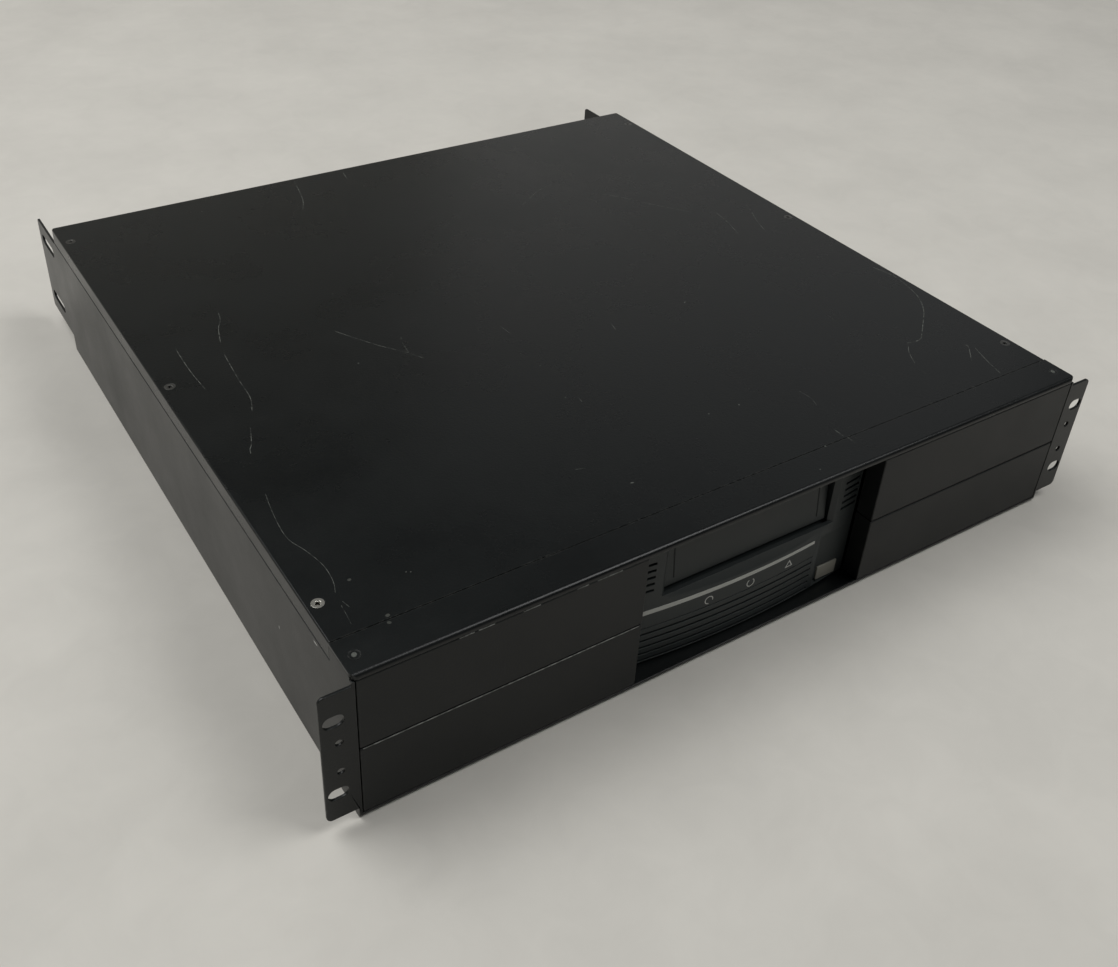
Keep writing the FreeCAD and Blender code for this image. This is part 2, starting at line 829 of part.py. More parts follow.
def front_header():
    """Strip across the top of the bays, with a small lip in front and a ledge under the lid."""
    section = [
        ("front", "lip_bottom"),
        ("front", "case_height"),
        ("header_back", "case_height"),
        ("header_back", "header_under"),
        ("front + sheet", "header_under"),
        ("front + sheet", "lip_bottom"),
    ]
    strip = prism("header_strip", "YZ_Plane", section, "case_width", "-case_half")
    doc.recompute()
    reach = strip.Shape.BoundBox
    round_edges(strip, "header_front_bend", "header_bend", upright("x", {1: reach.YMin, 2: reach.ZMax}))
    plan = prism("header_plan", "XY_Plane", rectangle("-case_half", "front", "case_half", "header_back"),
                 "header_lip", "lip_bottom")
    doc.recompute()
    round_edges(plan, "header_plan_corners", "header_corner", upright("z", {1: plan.Shape.BoundBox.YMin}))
    ledge = span(
        "header_ledge_strip",
        ("-wall_in + lid_gap", "header_back - header_depth / 4", "lid_under - sheet"),
        ("wall_in - lid_gap", "lid_front + header_ledge", "lid_under"),
    )
    rivets = []
    holes = []
    for name, sign in SIDES:
        spot = (f"{sign} * (case_half - rivet_inset)", "front + rivet_setback")
        for kind, play, store in (("rivet", "screw_play", rivets), ("rivet_hole", "0", holes)):
            shank = cylinder(f"{name}_{kind}_shank", (*spot, "header_under - sheet"),
                             f"rivet_radius - {play}", "2 * sheet")
            head = cone(f"{name}_{kind}_head", (*spot, "header_under"), f"rivet_radius - {play}",
                        f"rivet_head - {play}", "sheet")
            store.append(fuse(f"{name}_{kind}", shank, head))
    body = fuse("header_sheet", common("header_rounded", strip, plan), ledge)
    node(cut("front_header", body, *holes), "front_header")
    node(group("header_rivets", *rivets), "header_rivets")


def lid_and_rails():
    """Lid with short skirts, the two rails that carry it and its countersunk screws."""
    cover = prism("lid_block", "XY_Plane", rectangle("-lid_half", "lid_front", "lid_half", "case_back"),
                  "lid_skirt", "skirt_bottom")
    doc.recompute()
    bounds = cover.Shape.BoundBox
    shell(cover, "lid_shell", "lid_sheet",
          lambda centre: min(centre.z - bounds.ZMin, centre.y - bounds.YMin) < NEAR)
    round_edges(cover, "lid_corners", "lid_corner", upright("z", {1: bounds.YMax}))
    round_edges(cover, "lid_bends", "lid_bend",
                lambda edge: abs(edge.CenterOfMass.z - bounds.ZMax) < NEAR
                and edge.CenterOfMass.y > bounds.YMin + NEAR)
    screws = []
    lid_holes = []
    rail_holes = {"left": [], "right": []}
    rows = (("front", "front + lid_screw_front"), ("rear", "case_back - lid_screw_rear"),
            ("middle", "(front + lid_screw_front + case_back - lid_screw_rear) / 2"))
    for name, sign in SIDES:
        for row_name, y in rows:
            x = f"{sign} * (case_half - lid_screw_inset)"
            tag = f"{name}_{row_name}_lid"
            head = cone(f"{tag}_head", (x, y, "lid_under"), "screw_radius", "screw_head", "lid_sheet")
            shank = cylinder(f"{tag}_shank", (x, y, "case_height - screw_length"), "screw_radius",
                             "screw_length - lid_sheet")
            screws.append(fuse(f"{tag}_screw", head, shank))
            lid_holes.append(cone(f"{tag}_hole", (x, y, "lid_under"), "screw_radius + screw_play",
                                  "screw_head + screw_play", "lid_sheet"))
            rail_holes[name].append(cylinder(f"{tag}_thread", (x, y, "lid_under - 2 * rail_sheet"),
                                             "screw_radius + screw_play", "3 * rail_sheet"))
    node(cut("lid", cover, *lid_holes), "lid")
    node(group("lid_screws", *screws), "lid_screws")
    for name, sign in SIDES:
        section = [
            (f"{sign} * wall_in", "lid_under"),
            (f"{sign} * wall_in", "lid_under - rail_leg"),
            (f"{sign} * (wall_in - rail_sheet)", "lid_under - rail_leg"),
            (f"{sign} * (wall_in - rail_sheet)", "lid_under - rail_sheet"),
            (f"{sign} * (wall_in - rail_flange)", "lid_under - rail_sheet"),
            (f"{sign} * (wall_in - rail_flange)", "lid_under"),
        ]
        rail = prism(f"{name}_rail", "XZ_Plane", section, "rear_inside - rear_flange - rail_front",
                     "rail_front")
        node(cut(f"lid_rail_{name}", rail, *rail_holes[name]), f"lid_rail_{name}")


def blank_panels():
    """Four half-height blanking pans with their edges returned to the rear."""
    for name, sign in SIDES:
        inner = f"{sign} * bay_half"
        outer = f"{sign} * (wall_in - panel_gap)"
        for level, low in (("lower", "panel_bottom"),
                           ("upper", "panel_bottom + panel_height + panel_split")):
            tag = f"{name}_{level}"
            pan = prism(f"{tag}_pan", "XZ_Plane", rectangle(inner, low, outer, f"{low} + panel_height"),
                        "panel_return", "front")
            doc.recompute()
            bounds = pan.Shape.BoundBox
            shell(pan, f"{tag}_shell", "panel_sheet", lambda centre: bounds.YMax - centre.y < NEAR)
            round_edges(pan, f"{tag}_edges", "panel_edge",
                        lambda edge: all(spot.Point.y - bounds.YMin < NEAR for spot in edge.Vertexes))
            node(pan, f"blank_panel_{tag}")


def dividers_and_drive_screws():
    """Walls between the bays, which carry the drive by its sides."""
    screws = []
    for name, sign in SIDES:
        section = [
            (f"{sign} * divider_in", "sheet"),
            (f"{sign} * divider_in", "divider_top"),
            (f"{sign} * (divider_in + divider_sheet)", "divider_top"),
            (f"{sign} * (divider_in + divider_sheet)", "sheet + divider_sheet"),
            (f"{sign} * (divider_in + divider_foot)", "sheet + divider_sheet"),
            (f"{sign} * (divider_in + divider_foot)", "sheet"),
        ]
        wall = prism(f"{name}_divider", "XZ_Plane", section, "divider_depth", "divider_front")
        holes = []
        for place_name, y in (("front", "drive_screw_y"), ("rear", "drive_screw_y + drive_screw_pitch")):
            tag = f"{name}_{place_name}_drive"
            low = "drive_half - drive_screw_grip" if name == "right" else "-(divider_in + divider_sheet)"
            reach = "divider_in + divider_sheet - drive_half + drive_screw_grip"
            head = "divider_in + divider_sheet" if name == "right" else (
                "-(divider_in + divider_sheet + pan_head_height)")
            screws.append(fuse(
                f"{tag}_screw",
                cylinder(f"{tag}_shank", (low, y, "drive_screw_z"), "screw_radius", reach, "x"),
                cylinder(f"{tag}_head", (head, y, "drive_screw_z"), "pan_head_radius", "pan_head_height",
                         "x"),
            ))
            holes.append(cylinder(
                f"{tag}_hole", (f"{sign} * divider_in - divider_sheet * 2", y, "drive_screw_z"),
                "screw_radius + screw_play", "4 * divider_sheet", "x"))
        node(cut(f"bay_divider_{name}", wall, *holes), f"bay_divider_{name}")
    node(group("drive_screws", *screws), "drive_screws")


def drive_casing():
    """Cast base with its deck ledges, sheet cover with screws, and deck plate."""
    trough = prism("base_trough", "XZ_Plane",
                   rectangle("-drive_half", "drive_bottom", "drive_half", "cover_bottom"),
                   "drive_length", "base_front")
    doc.recompute()
    bounds = trough.Shape.BoundBox
    shell(trough, "base_walls", "drive_wall",
          lambda centre: min(bounds.ZMax - centre.z, centre.y - bounds.YMin) < NEAR)
    mouth = span("base_mouth", ("-cavity_half", "base_front - drive_wall", "drive_bottom - drive_wall"),
                 ("cavity_half", "floor_front", "base_floor + drive_wall"))
    data_hole = span(
        "base_data_hole",
        ("-(data_plug_width / 2 + plug_play)", "base_back - 2 * drive_wall", "board_top - plug_play"),
        ("data_plug_width / 2 + plug_play", "base_back + drive_wall",
         "board_top + data_plug_height + plug_play"),
    )
    power_hole = span(
        "base_power_hole",
        ("power_plug_x - power_plug_width / 2 - plug_play", "base_back - 2 * drive_wall",
         "board_top - plug_play"),
        ("power_plug_x + power_plug_width / 2 + plug_play", "base_back + drive_wall",
         "board_top + power_plug_height + plug_play"),
    )
    ledges = []
    screw_holes = []
    cover_screws = []
    cover_holes = []
    for name, sign in SIDES:
        ledges.append(box(
            f"{name}_ledge",
            (f"{sign} * cavity_half - ({sign} + 1) / 2 * ledge_width", "deck_front",
             "deck_bottom - ledge_height"),
            ("ledge_width", "base_back - drive_wall - deck_front", "ledge_height"),
        ))
        for row_name, y in (("front", "drive_screw_y"), ("rear", "drive_screw_y + drive_screw_pitch")):
            screw_holes.append(cylinder(
                f"{name}_{row_name}_base_thread",
                (f"{sign} * drive_half - drive_wall * 2", y, "drive_screw_z"),
                "screw_radius + screw_play", "4 * drive_wall", "x"))
        for row_name, y in (("front", "base_front + cover_screw_setback"),
                            ("rear", "base_back - cover_screw_setback")):
            x = f"{sign} * (drive_half - cover_screw_inset)"
            tag = f"{name}_{row_name}_cover"
            cover_screws.append(fuse(
                f"{tag}_screw",
                cylinder(f"{tag}_shank", (x, y, "cover_bottom - 2 * cover_sheet"), "cover_screw_radius",
                         "3 * cover_sheet"),
                cylinder(f"{tag}_head", (x, y, "drive_top"), "cover_screw_head", "pan_head_height"),
            ))
            cover_holes.append(cylinder(f"{tag}_hole", (x, y, "cover_bottom - 3 * cover_sheet"),
                                        "cover_screw_radius + screw_play", "5 * cover_sheet"))
    casting = fuse("base_casting", cut("base_shell", trough, mouth, data_hole, power_hole), *ledges)
    threads = [doc.copyObject(hole) for hole in cover_holes]
    node(cut("drive_base", casting, *screw_holes, *threads), "drive_base")
    top = span("cover_plate", ("-drive_half", "base_front", "cover_bottom"),
               ("drive_half", "base_back", "drive_top"))
    node(cut("drive_cover", top, *cover_holes), "drive_cover")
    node(group("cover_screws", *cover_screws), "cover_screws")
    node(span("drive_deck", ("-(cavity_half - deck_play)", "deck_front", "deck_bottom"),
              ("cavity_half - deck_play", "base_back - drive_wall - deck_play", "deck_top")), "drive_deck")


def drive_bezel():
    """Bowed front moulding with doorway, vents and louvres, its trim stripe and its light pipes."""
    section = [
        ("bezel_back", "drive_bottom"),
        ("bezel_back", "bezel_top"),
        ("upper_face", "bezel_top"),
        ("upper_face", "belly_top"),
        ("belly_face", "belly_top - belly_slope"),
        ("belly_face", "drive_bottom"),
    ]
    block = prism("bezel_block", "YZ_Plane", section, "2 * bezel_half", "-bezel_half")
    low = "drive_bottom + vent_low"
    vents = [
        pocket(block, f"{name}_vent", "XZ_Plane", rectangle(left, low, right, f"{low} + vent_height"),
               "2 * bezel_depth", "front")
        for name, left, right in (("left", "-vent_right", "-vent_left"),
                                  ("right", "vent_left", "vent_right"))
    ]
    march(block, vents, VENT_ROWS, "vent_pitch")
    louvre = pocket(block, "louvre", "XZ_Plane",
                    rectangle("louvre_left", "louvre_bottom", "louvre_right",
                              "louvre_bottom + louvre_height"), "2 * bezel_depth", "front")
    march(block, [louvre], LOUVRES, "louvre_pitch")

    def bow(name, change):
        return cylinder(name, ("0", "bow_axis", "drive_bottom"), f"bow_radius + {change}",
                        "bezel_top - drive_bottom")

    throat = span("bezel_throat", ("-throat_half", "front", "throat_bottom"),
                  ("throat_half", "bezel_back + bezel_depth", "throat_top"))
    flare = doc.addObject("Part::Wedge", "bezel_flare")
    bind(
        flare,
        Xmin="-(throat_half + flare_side)", Xmax="throat_half + flare_side",
        X2min="-throat_half", X2max="throat_half",
        Ymin="upper_face", Ymax="upper_face + flare_depth",
        Zmin="throat_bottom - flare_sill", Zmax="throat_top",
        Z2min="throat_bottom", Z2max="throat_top",
    )
    well = span("bezel_door_well",
                ("-cheek_half", "upper_face + flare_depth", "throat_bottom - throat_undercut"),
                ("cheek_half", "bezel_back + bezel_depth", "throat_top"))
    tools = [throat, flare, well]
    stripe = [
        ("stripe_left", "stripe_z - stripe_height / 2"),
        ("stripe_right", "stripe_z - stripe_tip / 2"),
        ("stripe_right", "stripe_z + stripe_tip / 2"),
        ("stripe_left", "stripe_z + stripe_height / 2"),
    ]
    tools.append(cut("stripe_groove",
                     prism("stripe_groove_run", "XZ_Plane", stripe, "bezel_back - front", "front"),
                     bow("stripe_groove_floor", "-stripe_inset")))
    line_z = f"louvre_bottom + {LOUVRES - 1} * louvre_pitch + louvre_height + louvre_line_gap"
    tools.append(cut("louvre_line_groove",
                     span("louvre_line_run", ("louvre_left", "front", line_z),
                          ("louvre_right", "bezel_back", f"{line_z} + louvre_line")),
                     bow("louvre_line_floor", "-louvre_line_depth")))
    tools.append(span("label_recess", ("label_left", "front", "drive_bottom + label_low"),
                      ("label_right", "label_face", "drive_bottom + label_low + label_height")))
    tools.append(span(
        "button_hole",
        ("button_x - button_width / 2 - button_play", "front",
         "button_z - button_height / 2 - button_play"),
        ("button_x + button_width / 2 + button_play", "bezel_back + bezel_depth",
         "button_z + button_height / 2 + button_play"),
    ))
    lights = []
    for name, step in (("left", "-1"), ("middle", "0"), ("right", "1")):
        x = f"{step} * light_pitch"
        spot = (x, "belly_face + belly_bulge + light_skin", "light_z")
        lights.append(cylinder(f"{name}_light", spot, "light_radius", f"front_board_y - ({spot[1]})", "y"))
        tools.append(cylinder(f"{name}_light_bore", spot, "light_radius + light_play", "2 * bezel_depth",
                              "y"))
    for name, sign in SIDES:
        low = f"{sign} * cheek_half - (1 - ({sign})) / 2 * pin_seat"
        tools.append(cylinder(f"{name}_pin_bore", (low, "hinge_y", "hinge_z"), "pin_radius + pin_play",
                              "pin_seat", "x"))
    node(cut("drive_bezel", common("bezel_bowed", block, bow("bezel_bow", "0")), *tools), "drive_bezel")
    band = common("stripe_band",
                  prism("stripe_run", "XZ_Plane", stripe, "bezel_back - front", "front"),
                  bow("stripe_face", "stripe_proud"))
    node(cut("bezel_stripe", band, bow("stripe_back", "-stripe_inset")), "bezel_stripe")
    node(group("status_light_pipes", *lights), "status_light_pipes")


def cartridge_door():
    """Door that leans back to a barrel along its top edge, its two pins and its closing spring."""
    leaf = prism("door_leaf", "YZ_Plane", [
        ("door_front", "door_bottom"),
        ("door_back", "door_bottom"),
        ("door_back + door_lean", "hinge_z"),
        ("door_front + door_lean", "hinge_z"),
    ], "2 * door_half", "-door_half")
    barrel = cylinder("door_barrel_rod", ("-door_half + spring_bay", "hinge_y", "hinge_z"), "door_barrel",
                      "2 * door_half - spring_bay", "x")
    spring_room = span(
        "door_spring_room",
        ("-door_half - door_gap", "hinge_y - pin_radius - 2 * spring_play - spring_wire",
         "hinge_z - door_barrel - door_gap"),
        ("-door_half + spring_bay", "hinge_y + door_barrel", "hinge_z + door_barrel"),
    )
    groove = [
        ("front", "door_bottom + door_groove_low"),
        ("door_front + door_lean * door_groove_low / leaf_height + door_groove_depth",
         "door_bottom + door_groove_low"),
        ("door_front + door_lean + door_groove_depth", "hinge_z"),
        ("front", "hinge_z"),
    ]
    grooves = [
        prism(f"{name}_door_groove", "YZ_Plane", groove, "door_groove_width",
              f"{sign} * (door_half - door_groove_inset) - door_groove_width / 2")
        for name, sign in SIDES
    ]
    bore = cylinder("door_bore", ("-door_half", "hinge_y", "hinge_z"), "pin_radius + pin_play",
                    "2 * door_half", "x")
    panel = fuse("door_panel", cut("door_leaf_cut", leaf, spring_room), barrel)
    node(cut("cartridge_door", panel, bore, *grooves), "cartridge_door")
    left_pin = span_pin("left_door_pin", "-(cheek_half + pin_seat)", "-door_half + spring_bay + pin_grip")
    right_pin = span_pin("right_door_pin", "door_half - pin_grip", "cheek_half + pin_seat")
    node(group("door_pins", left_pin, right_pin), "door_pins")
    coil_start = "-door_half + spring_play"
    coil = cylinder("spring_coil_out", (coil_start, "hinge_y", "hinge_z"),
                    "pin_radius + spring_play + spring_wire", "spring_bay - 2 * spring_play", "x")
    coil_bore = cylinder("spring_coil_in", (coil_start, "hinge_y", "hinge_z"), "pin_radius + spring_play",
                         "spring_bay - 2 * spring_play", "x")
    leg_end = "door_back + door_lean * (1 - spring_leg / leaf_height)"
    leg = prism("spring_leg_wire", "YZ_Plane", [
        (leg_end, "hinge_z - spring_leg"),
        (f"{leg_end} + spring_wire", "hinge_z - spring_leg"),
        ("door_back + door_lean + spring_wire", "hinge_z"),
        ("door_back + door_lean", "hinge_z"),
    ], "spring_wire", "-door_half + spring_bay / 2")
    node(cut("door_spring", fuse("spring_wire_whole", coil, leg), coil_bore), "door_spring")


def span_pin(name, left, right):
    """Hinge pin of the door between two places along X."""
    return cylinder(name, (left, "hinge_y", "hinge_z"), "pin_radius", f"({right}) - ({left})", "x")


def eject_button():
    """Button in its hole, with the switch and the front board behind it."""
    cap = prism("button_cap", "XZ_Plane",
                rectangle("button_x - button_width / 2", "button_z - button_height / 2",
                          "button_x + button_width / 2", "button_z + button_height / 2"),
                "flange_back - button_front", "button_front")
    doc.recompute()
    near = cap.Shape.BoundBox.YMin
    round_edges(cap, "button_cap_edges", "button_edge",
                lambda edge: all(spot.Point.y - near < NEAR for spot in edge.Vertexes))
    rim = span(
        "button_rim",
        ("button_x - button_width / 2 - button_flange_rim", "flange_front",
         "button_z - button_height / 2 - button_flange_rim"),
        ("button_x + button_width / 2 + button_flange_rim", "flange_back",
         "button_z + button_height / 2 + button_flange_rim"),
    )
    stem = cylinder("button_stem_rod", ("button_x", "flange_front", "button_z"), "button_stem_radius",
                    "stem_back - flange_front", "y")
    node(fuse("eject_button", cap, rim, stem), "eject_button")
    half = "switch_size / 2"
    node(span("eject_switch", (f"button_x - {half}", "switch_front", f"button_z - {half}"),
              (f"button_x + {half}", "front_board_y", f"button_z + {half}")), "eject_switch")
    half = "(cavity_half - front_board_margin)"
    node(span("front_board", (f"-{half}", "front_board_y", "drive_bottom + sheet"),
              (half, "floor_front", "front_board_top")), "front_board")


def cartridge_receiver():
    """Open tray on the deck that takes the cartridge behind the door."""
    cheek = [
        ("receiver_front", "receiver_shoulder"),
        ("deck_front", "receiver_shoulder"),
        ("deck_front", "deck_top"),
        ("receiver_back", "deck_top"),
        ("receiver_back", "receiver_top"),
        ("receiver_front", "receiver_top"),
    ]
    left = prism("receiver_left", "YZ_Plane", cheek, "receiver_sheet", "-(receiver_half + receiver_sheet)")
    right = prism("receiver_right", "YZ_Plane", cheek, "receiver_sheet", "receiver_half")
    tray = span("receiver_tray", ("-receiver_half", "receiver_front", "receiver_floor"),
                ("receiver_half", "receiver_back", "receiver_floor + receiver_sheet"))
    hole = cylinder("receiver_hub_hole", ("0", "hub_y", "receiver_floor - receiver_sheet"), "receiver_hole",
                    "3 * receiver_sheet")
    metal = fuse("receiver_sheet_metal", left, right, tray)
    node(cut("cartridge_receiver", metal, hole), "cartridge_receiver")


def motor(label, y):
    """Flat reel motor on the deck, with a bearing bore for its rotor's shaft."""
    corners = [
        ("0", "deck_top"),
        ("motor_radius", "deck_top"),
        ("motor_radius", "motor_top"),
        ("shaft_radius + shaft_play", "motor_top"),
        ("shaft_radius + shaft_play", "motor_top - shaft_length"),
        ("0", "motor_top - shaft_length"),
    ]
    node(turned(label, corners, ("0", y, "0")), label)


def reels():
    """Supply hub under the cartridge and take-up reel behind it, each on its motor."""
    motor("supply_motor", "hub_y")
    low = "motor_top + run_gap"
    shaft_end = "motor_top - shaft_length + run_gap"
    crown = "receiver_floor + hub_stop"
    hub = [
        ("0", shaft_end),
        ("shaft_radius", shaft_end),
        ("shaft_radius", low),
        ("hub_flange_radius", low),
        ("hub_flange_radius", f"{low} + hub_flange"),
        ("hub_radius", f"{low} + hub_flange"),
        ("hub_radius", crown),
        ("hub_tooth_radius", crown),
        ("hub_tooth_radius - hub_tooth_depth", f"{crown} - hub_tooth_depth"),
        ("0", f"{crown} - hub_tooth_depth"),
    ]
    node(turned("supply_hub", hub, ("0", "hub_y", "0")), "supply_hub")
    motor("takeup_motor", "takeup_y")
    top = "tape_high + reel_flange"
    reel = [
        ("0", shaft_end),
        ("shaft_radius", shaft_end),
        ("shaft_radius", low),
        ("reel_boss_radius", low),
        ("reel_boss_radius", "reel_bottom"),
        ("reel_radius", "reel_bottom"),
        ("reel_radius", "tape_low"),
        ("reel_hub_radius", "tape_low"),
        ("reel_hub_radius", "tape_high"),
        ("reel_radius", "tape_high"),
        ("reel_radius", top),
        ("0", top),
    ]
    spool = turned("takeup_reel", reel, ("0", "takeup_y", "0"))
    window = pocket(
        spool, "reel_window", "XY_Plane",
        [("reel_window_root", "-reel_window_half / 2"), ("reel_window_tip", "-reel_window_half"),
         ("reel_window_tip", "reel_window_half"), ("reel_window_root", "reel_window_half / 2")],
        "reel_flange", top)
    repeat(spool, window, REEL_WINDOWS)
    node(spool, "takeup_reel")


def guide_rollers():
    """Flanged rollers that lead the tape past the head, each on a fixed post."""
    posts = []
    low = "reel_bottom"
    high = "tape_high + reel_flange"
    for name in ("one", "two", "three", "four"):
        spot = (f"roller_{name}_x", f"roller_{name}_y", "0")
        posts.append(turned(f"post_{name}", [
            ("0", "deck_top"),
            ("post_foot_radius", "deck_top"),
            ("post_foot_radius", f"{low} - run_gap"),
            ("post_radius", f"{low} - run_gap"),
            ("post_radius", f"{high} + run_gap"),
            ("post_cap_radius", f"{high} + run_gap"),
            ("post_cap_radius", f"{high} + run_gap + post_cap"),
            ("0", f"{high} + run_gap + post_cap"),
        ], spot))
        node(turned(f"guide_roller_{name}", [
            ("post_radius + post_play", low),
            ("roller_radius", low),
            ("roller_radius", f"{low} + roller_flange"),
            ("roller_radius - roller_rim", f"{low} + roller_flange"),
            ("roller_radius - roller_rim", f"{high} - roller_flange"),
            ("roller_radius", f"{high} - roller_flange"),
            ("roller_radius", high),
            ("post_radius + post_play", high),
        ], spot), f"guide_roller_{name}")
    node(group("roller_posts", *posts), "roller_posts")


def head_lift():
    """Read head on a carriage that a lead screw raises and lowers between two rods."""
    rods = []
    rod_holes = []
    bridge_holes = []
    for name, sign in (("front", "-1"), ("rear", "1")):
        y = f"head_mid_y + {sign} * rod_pitch / 2"
        rods.append(cylinder(f"{name}_rod", ("head_mid_x", y, "deck_top"), "rod_radius",
                             "bridge_low + bridge_sheet - deck_top"))
        rod_holes.append(cylinder(f"{name}_rod_bore", ("head_mid_x", y, "deck_top"),
                                  "rod_radius + rod_play", "bridge_low - deck_top"))
        bridge_holes.append(cylinder(f"{name}_bridge_bore", ("head_mid_x", y, "head_high"),
                                     "rod_radius + rod_play", "bridge_low"))
    half = ("head_width / 2", "head_depth / 2")
    block = span("carriage_block", (f"head_mid_x - {half[0]}", f"head_mid_y - {half[1]}", "head_low"),
                 (f"head_mid_x + {half[0]}", f"head_mid_y + {half[1]}", "head_high"))
    nut = cylinder("carriage_nut", ("head_mid_x", "head_mid_y", "deck_top"), "lead_radius + lead_play",
                   "bridge_low - deck_top")
    node(cut("head_carriage", block, nut, *rod_holes), "head_carriage")
    face = f"head_mid_x + {half[0]}"
    tip = span("read_head_block", (face, "head_mid_y - read_head_width / 2", "tape_low"),
               (f"{face} + read_head_depth", "head_mid_y + read_head_width / 2", "tape_high"))
    nose_axis = (f"{face} + read_head_depth - read_head_radius", "head_mid_y", "tape_low")
    nose = cylinder("read_head_nose", nose_axis, "read_head_radius", "tape_high - tape_low")
    node(common("read_head", tip, nose), "read_head")
    node(group("head_rods", *rods), "head_rods")
    bar = span("bridge_bar", (f"head_mid_x - {half[0]}", f"head_mid_y - {half[1]}", "bridge_low"),
               (f"head_mid_x + {half[0]}", f"head_mid_y + {half[1]}", "bridge_low + bridge_sheet"))
    top_bore = cylinder("bridge_lead_bore", ("head_mid_x", "head_mid_y", "head_high"),
                        "lead_radius + lead_play", "bridge_low")
    node(cut("head_bridge", bar, top_bore, *bridge_holes), "head_bridge")
    node(turned("head_stepper", [
        ("0", "deck_top"),
        ("stepper_radius", "deck_top"),
        ("stepper_radius", "stepper_top"),
        ("lead_radius + lead_play", "stepper_top"),
        ("lead_radius + lead_play", "stepper_top - stepper_height / 2"),
        ("0", "stepper_top - stepper_height / 2"),
    ], ("head_mid_x", "head_mid_y", "0")), "head_stepper")
    lead_low = "stepper_top - stepper_height / 2 + run_gap"
    node(cylinder("head_lead_screw", ("head_mid_x", "head_mid_y", lead_low), "lead_radius",
                  f"bridge_low + bridge_sheet - ({lead_low})"), "head_lead_screw")


def controller_board():
    """Main board under the deck on standoffs, with its chips and the drive's two rear connectors."""
    node(span("controller_board", ("-board_half", "board_y", "board_bottom"),
              ("board_half", "board_back", "board_top")), "controller_board")
    standoffs = []
    for name, sign in SIDES:
        for row_name, y in (("front", "board_y + standoff_inset"), ("rear", "board_back - standoff_inset")):
            standoffs.append(cylinder(f"{name}_{row_name}_standoff",
                                      (f"{sign} * (board_half - standoff_inset)", y, "base_floor"),
                                      "standoff_radius", "board_bottom - base_floor"))
    node(group("board_standoffs", *standoffs), "board_standoffs")
    chips = []
    for column, x in (("left", "-chip_pitch / 2"), ("right", "chip_pitch / 2")):
        for row_index in range(CHIP_ROWS):
            chips.append(box(
                f"{column}_chip_{row_index}",
                (f"{x} - chip_size / 2", f"board_y + chip_front + {row_index} * chip_pitch", "board_top"),
                ("chip_size", "chip_size", "chip_height"),
            ))
    node(group("board_chips", *chips), "board_chips")
    node(span("drive_data_plug", ("-data_plug_width / 2", "board_back - data_plug_depth", "board_top"),
              ("data_plug_width / 2", "plug_back", "board_top + data_plug_height")), "drive_data_plug")
    node(span("drive_power_plug",
              ("power_plug_x - power_plug_width / 2", "board_back - data_plug_depth", "board_top"),
              ("power_plug_x + power_plug_width / 2", "plug_back", "board_top + power_plug_height")),
         "drive_power_plug")


def power_supply():
    """Closed supply in the rear of the left bay, with a row of cooling slots in its top."""
    case = prism("supply_case", "XY_Plane",
                 rectangle("supply_left", "supply_front", "supply_left + supply_width",
                           "supply_front + supply_length"), "supply_height", "sheet")
    slot_y = "supply_front + supply_length / 4"
    vent = pocket(case, "supply_slot", "XY_Plane",
                  rectangle("supply_left + supply_width / 4", slot_y, "supply_left + 3 * supply_width / 4",
                            f"{slot_y} + supply_slot_width"), "supply_slot_depth", "sheet + supply_height")
    march(case, [vent], SUPPLY_SLOTS, "supply_slot_pitch", "Y_Axis")
    node(case, "power_supply")


def mains_inlet():
    """Three-pin inlet set in the rear panel from outside."""
    left = "inlet_mid - inlet_width / 2"
    low = "rear_level - inlet_height / 2"
    rim = rounded_block(
        "inlet_rim_plate",
        rectangle(f"{left} - inlet_rim", f"{low} - inlet_rim", f"{left} + inlet_width + inlet_rim",
                  f"{low} + inlet_height + inlet_rim"),
        "inlet_rim", "rear_face", "inlet_corner")
    case = span("inlet_case", (left, "rear_face - inlet_depth", low),
                ("inlet_mid + inlet_width / 2", "rear_face + inlet_rim", "rear_level + inlet_height / 2"))
    well = span(
        "inlet_well_space",
        (f"{left} + inlet_wall", "rear_face + inlet_rim - inlet_well", f"{low} + inlet_wall"),
        ("inlet_mid + inlet_width / 2 - inlet_wall", "rear_face + 2 * inlet_rim",
         "rear_level + inlet_height / 2 - inlet_wall"),
    )
    pins = []
    for name, step, rise in (("left", "-1", "-1"), ("earth", "0", "1"), ("right", "1", "-1")):
        pins.append(box(
            f"{name}_inlet_pin",
            (f"inlet_mid + {step} * inlet_pin_pitch - inlet_pin_width / 2",
             "rear_face + inlet_rim - inlet_well",
             f"rear_level + {rise} * inlet_pin_rise - inlet_pin_height / 2"),
            ("inlet_pin_width", "inlet_pin_length", "inlet_pin_height"),
        ))
    moulding = cut("inlet_shell", fuse("inlet_block", rim, case), well)
    node(fuse("mains_inlet", moulding, *pins), "mains_inlet")


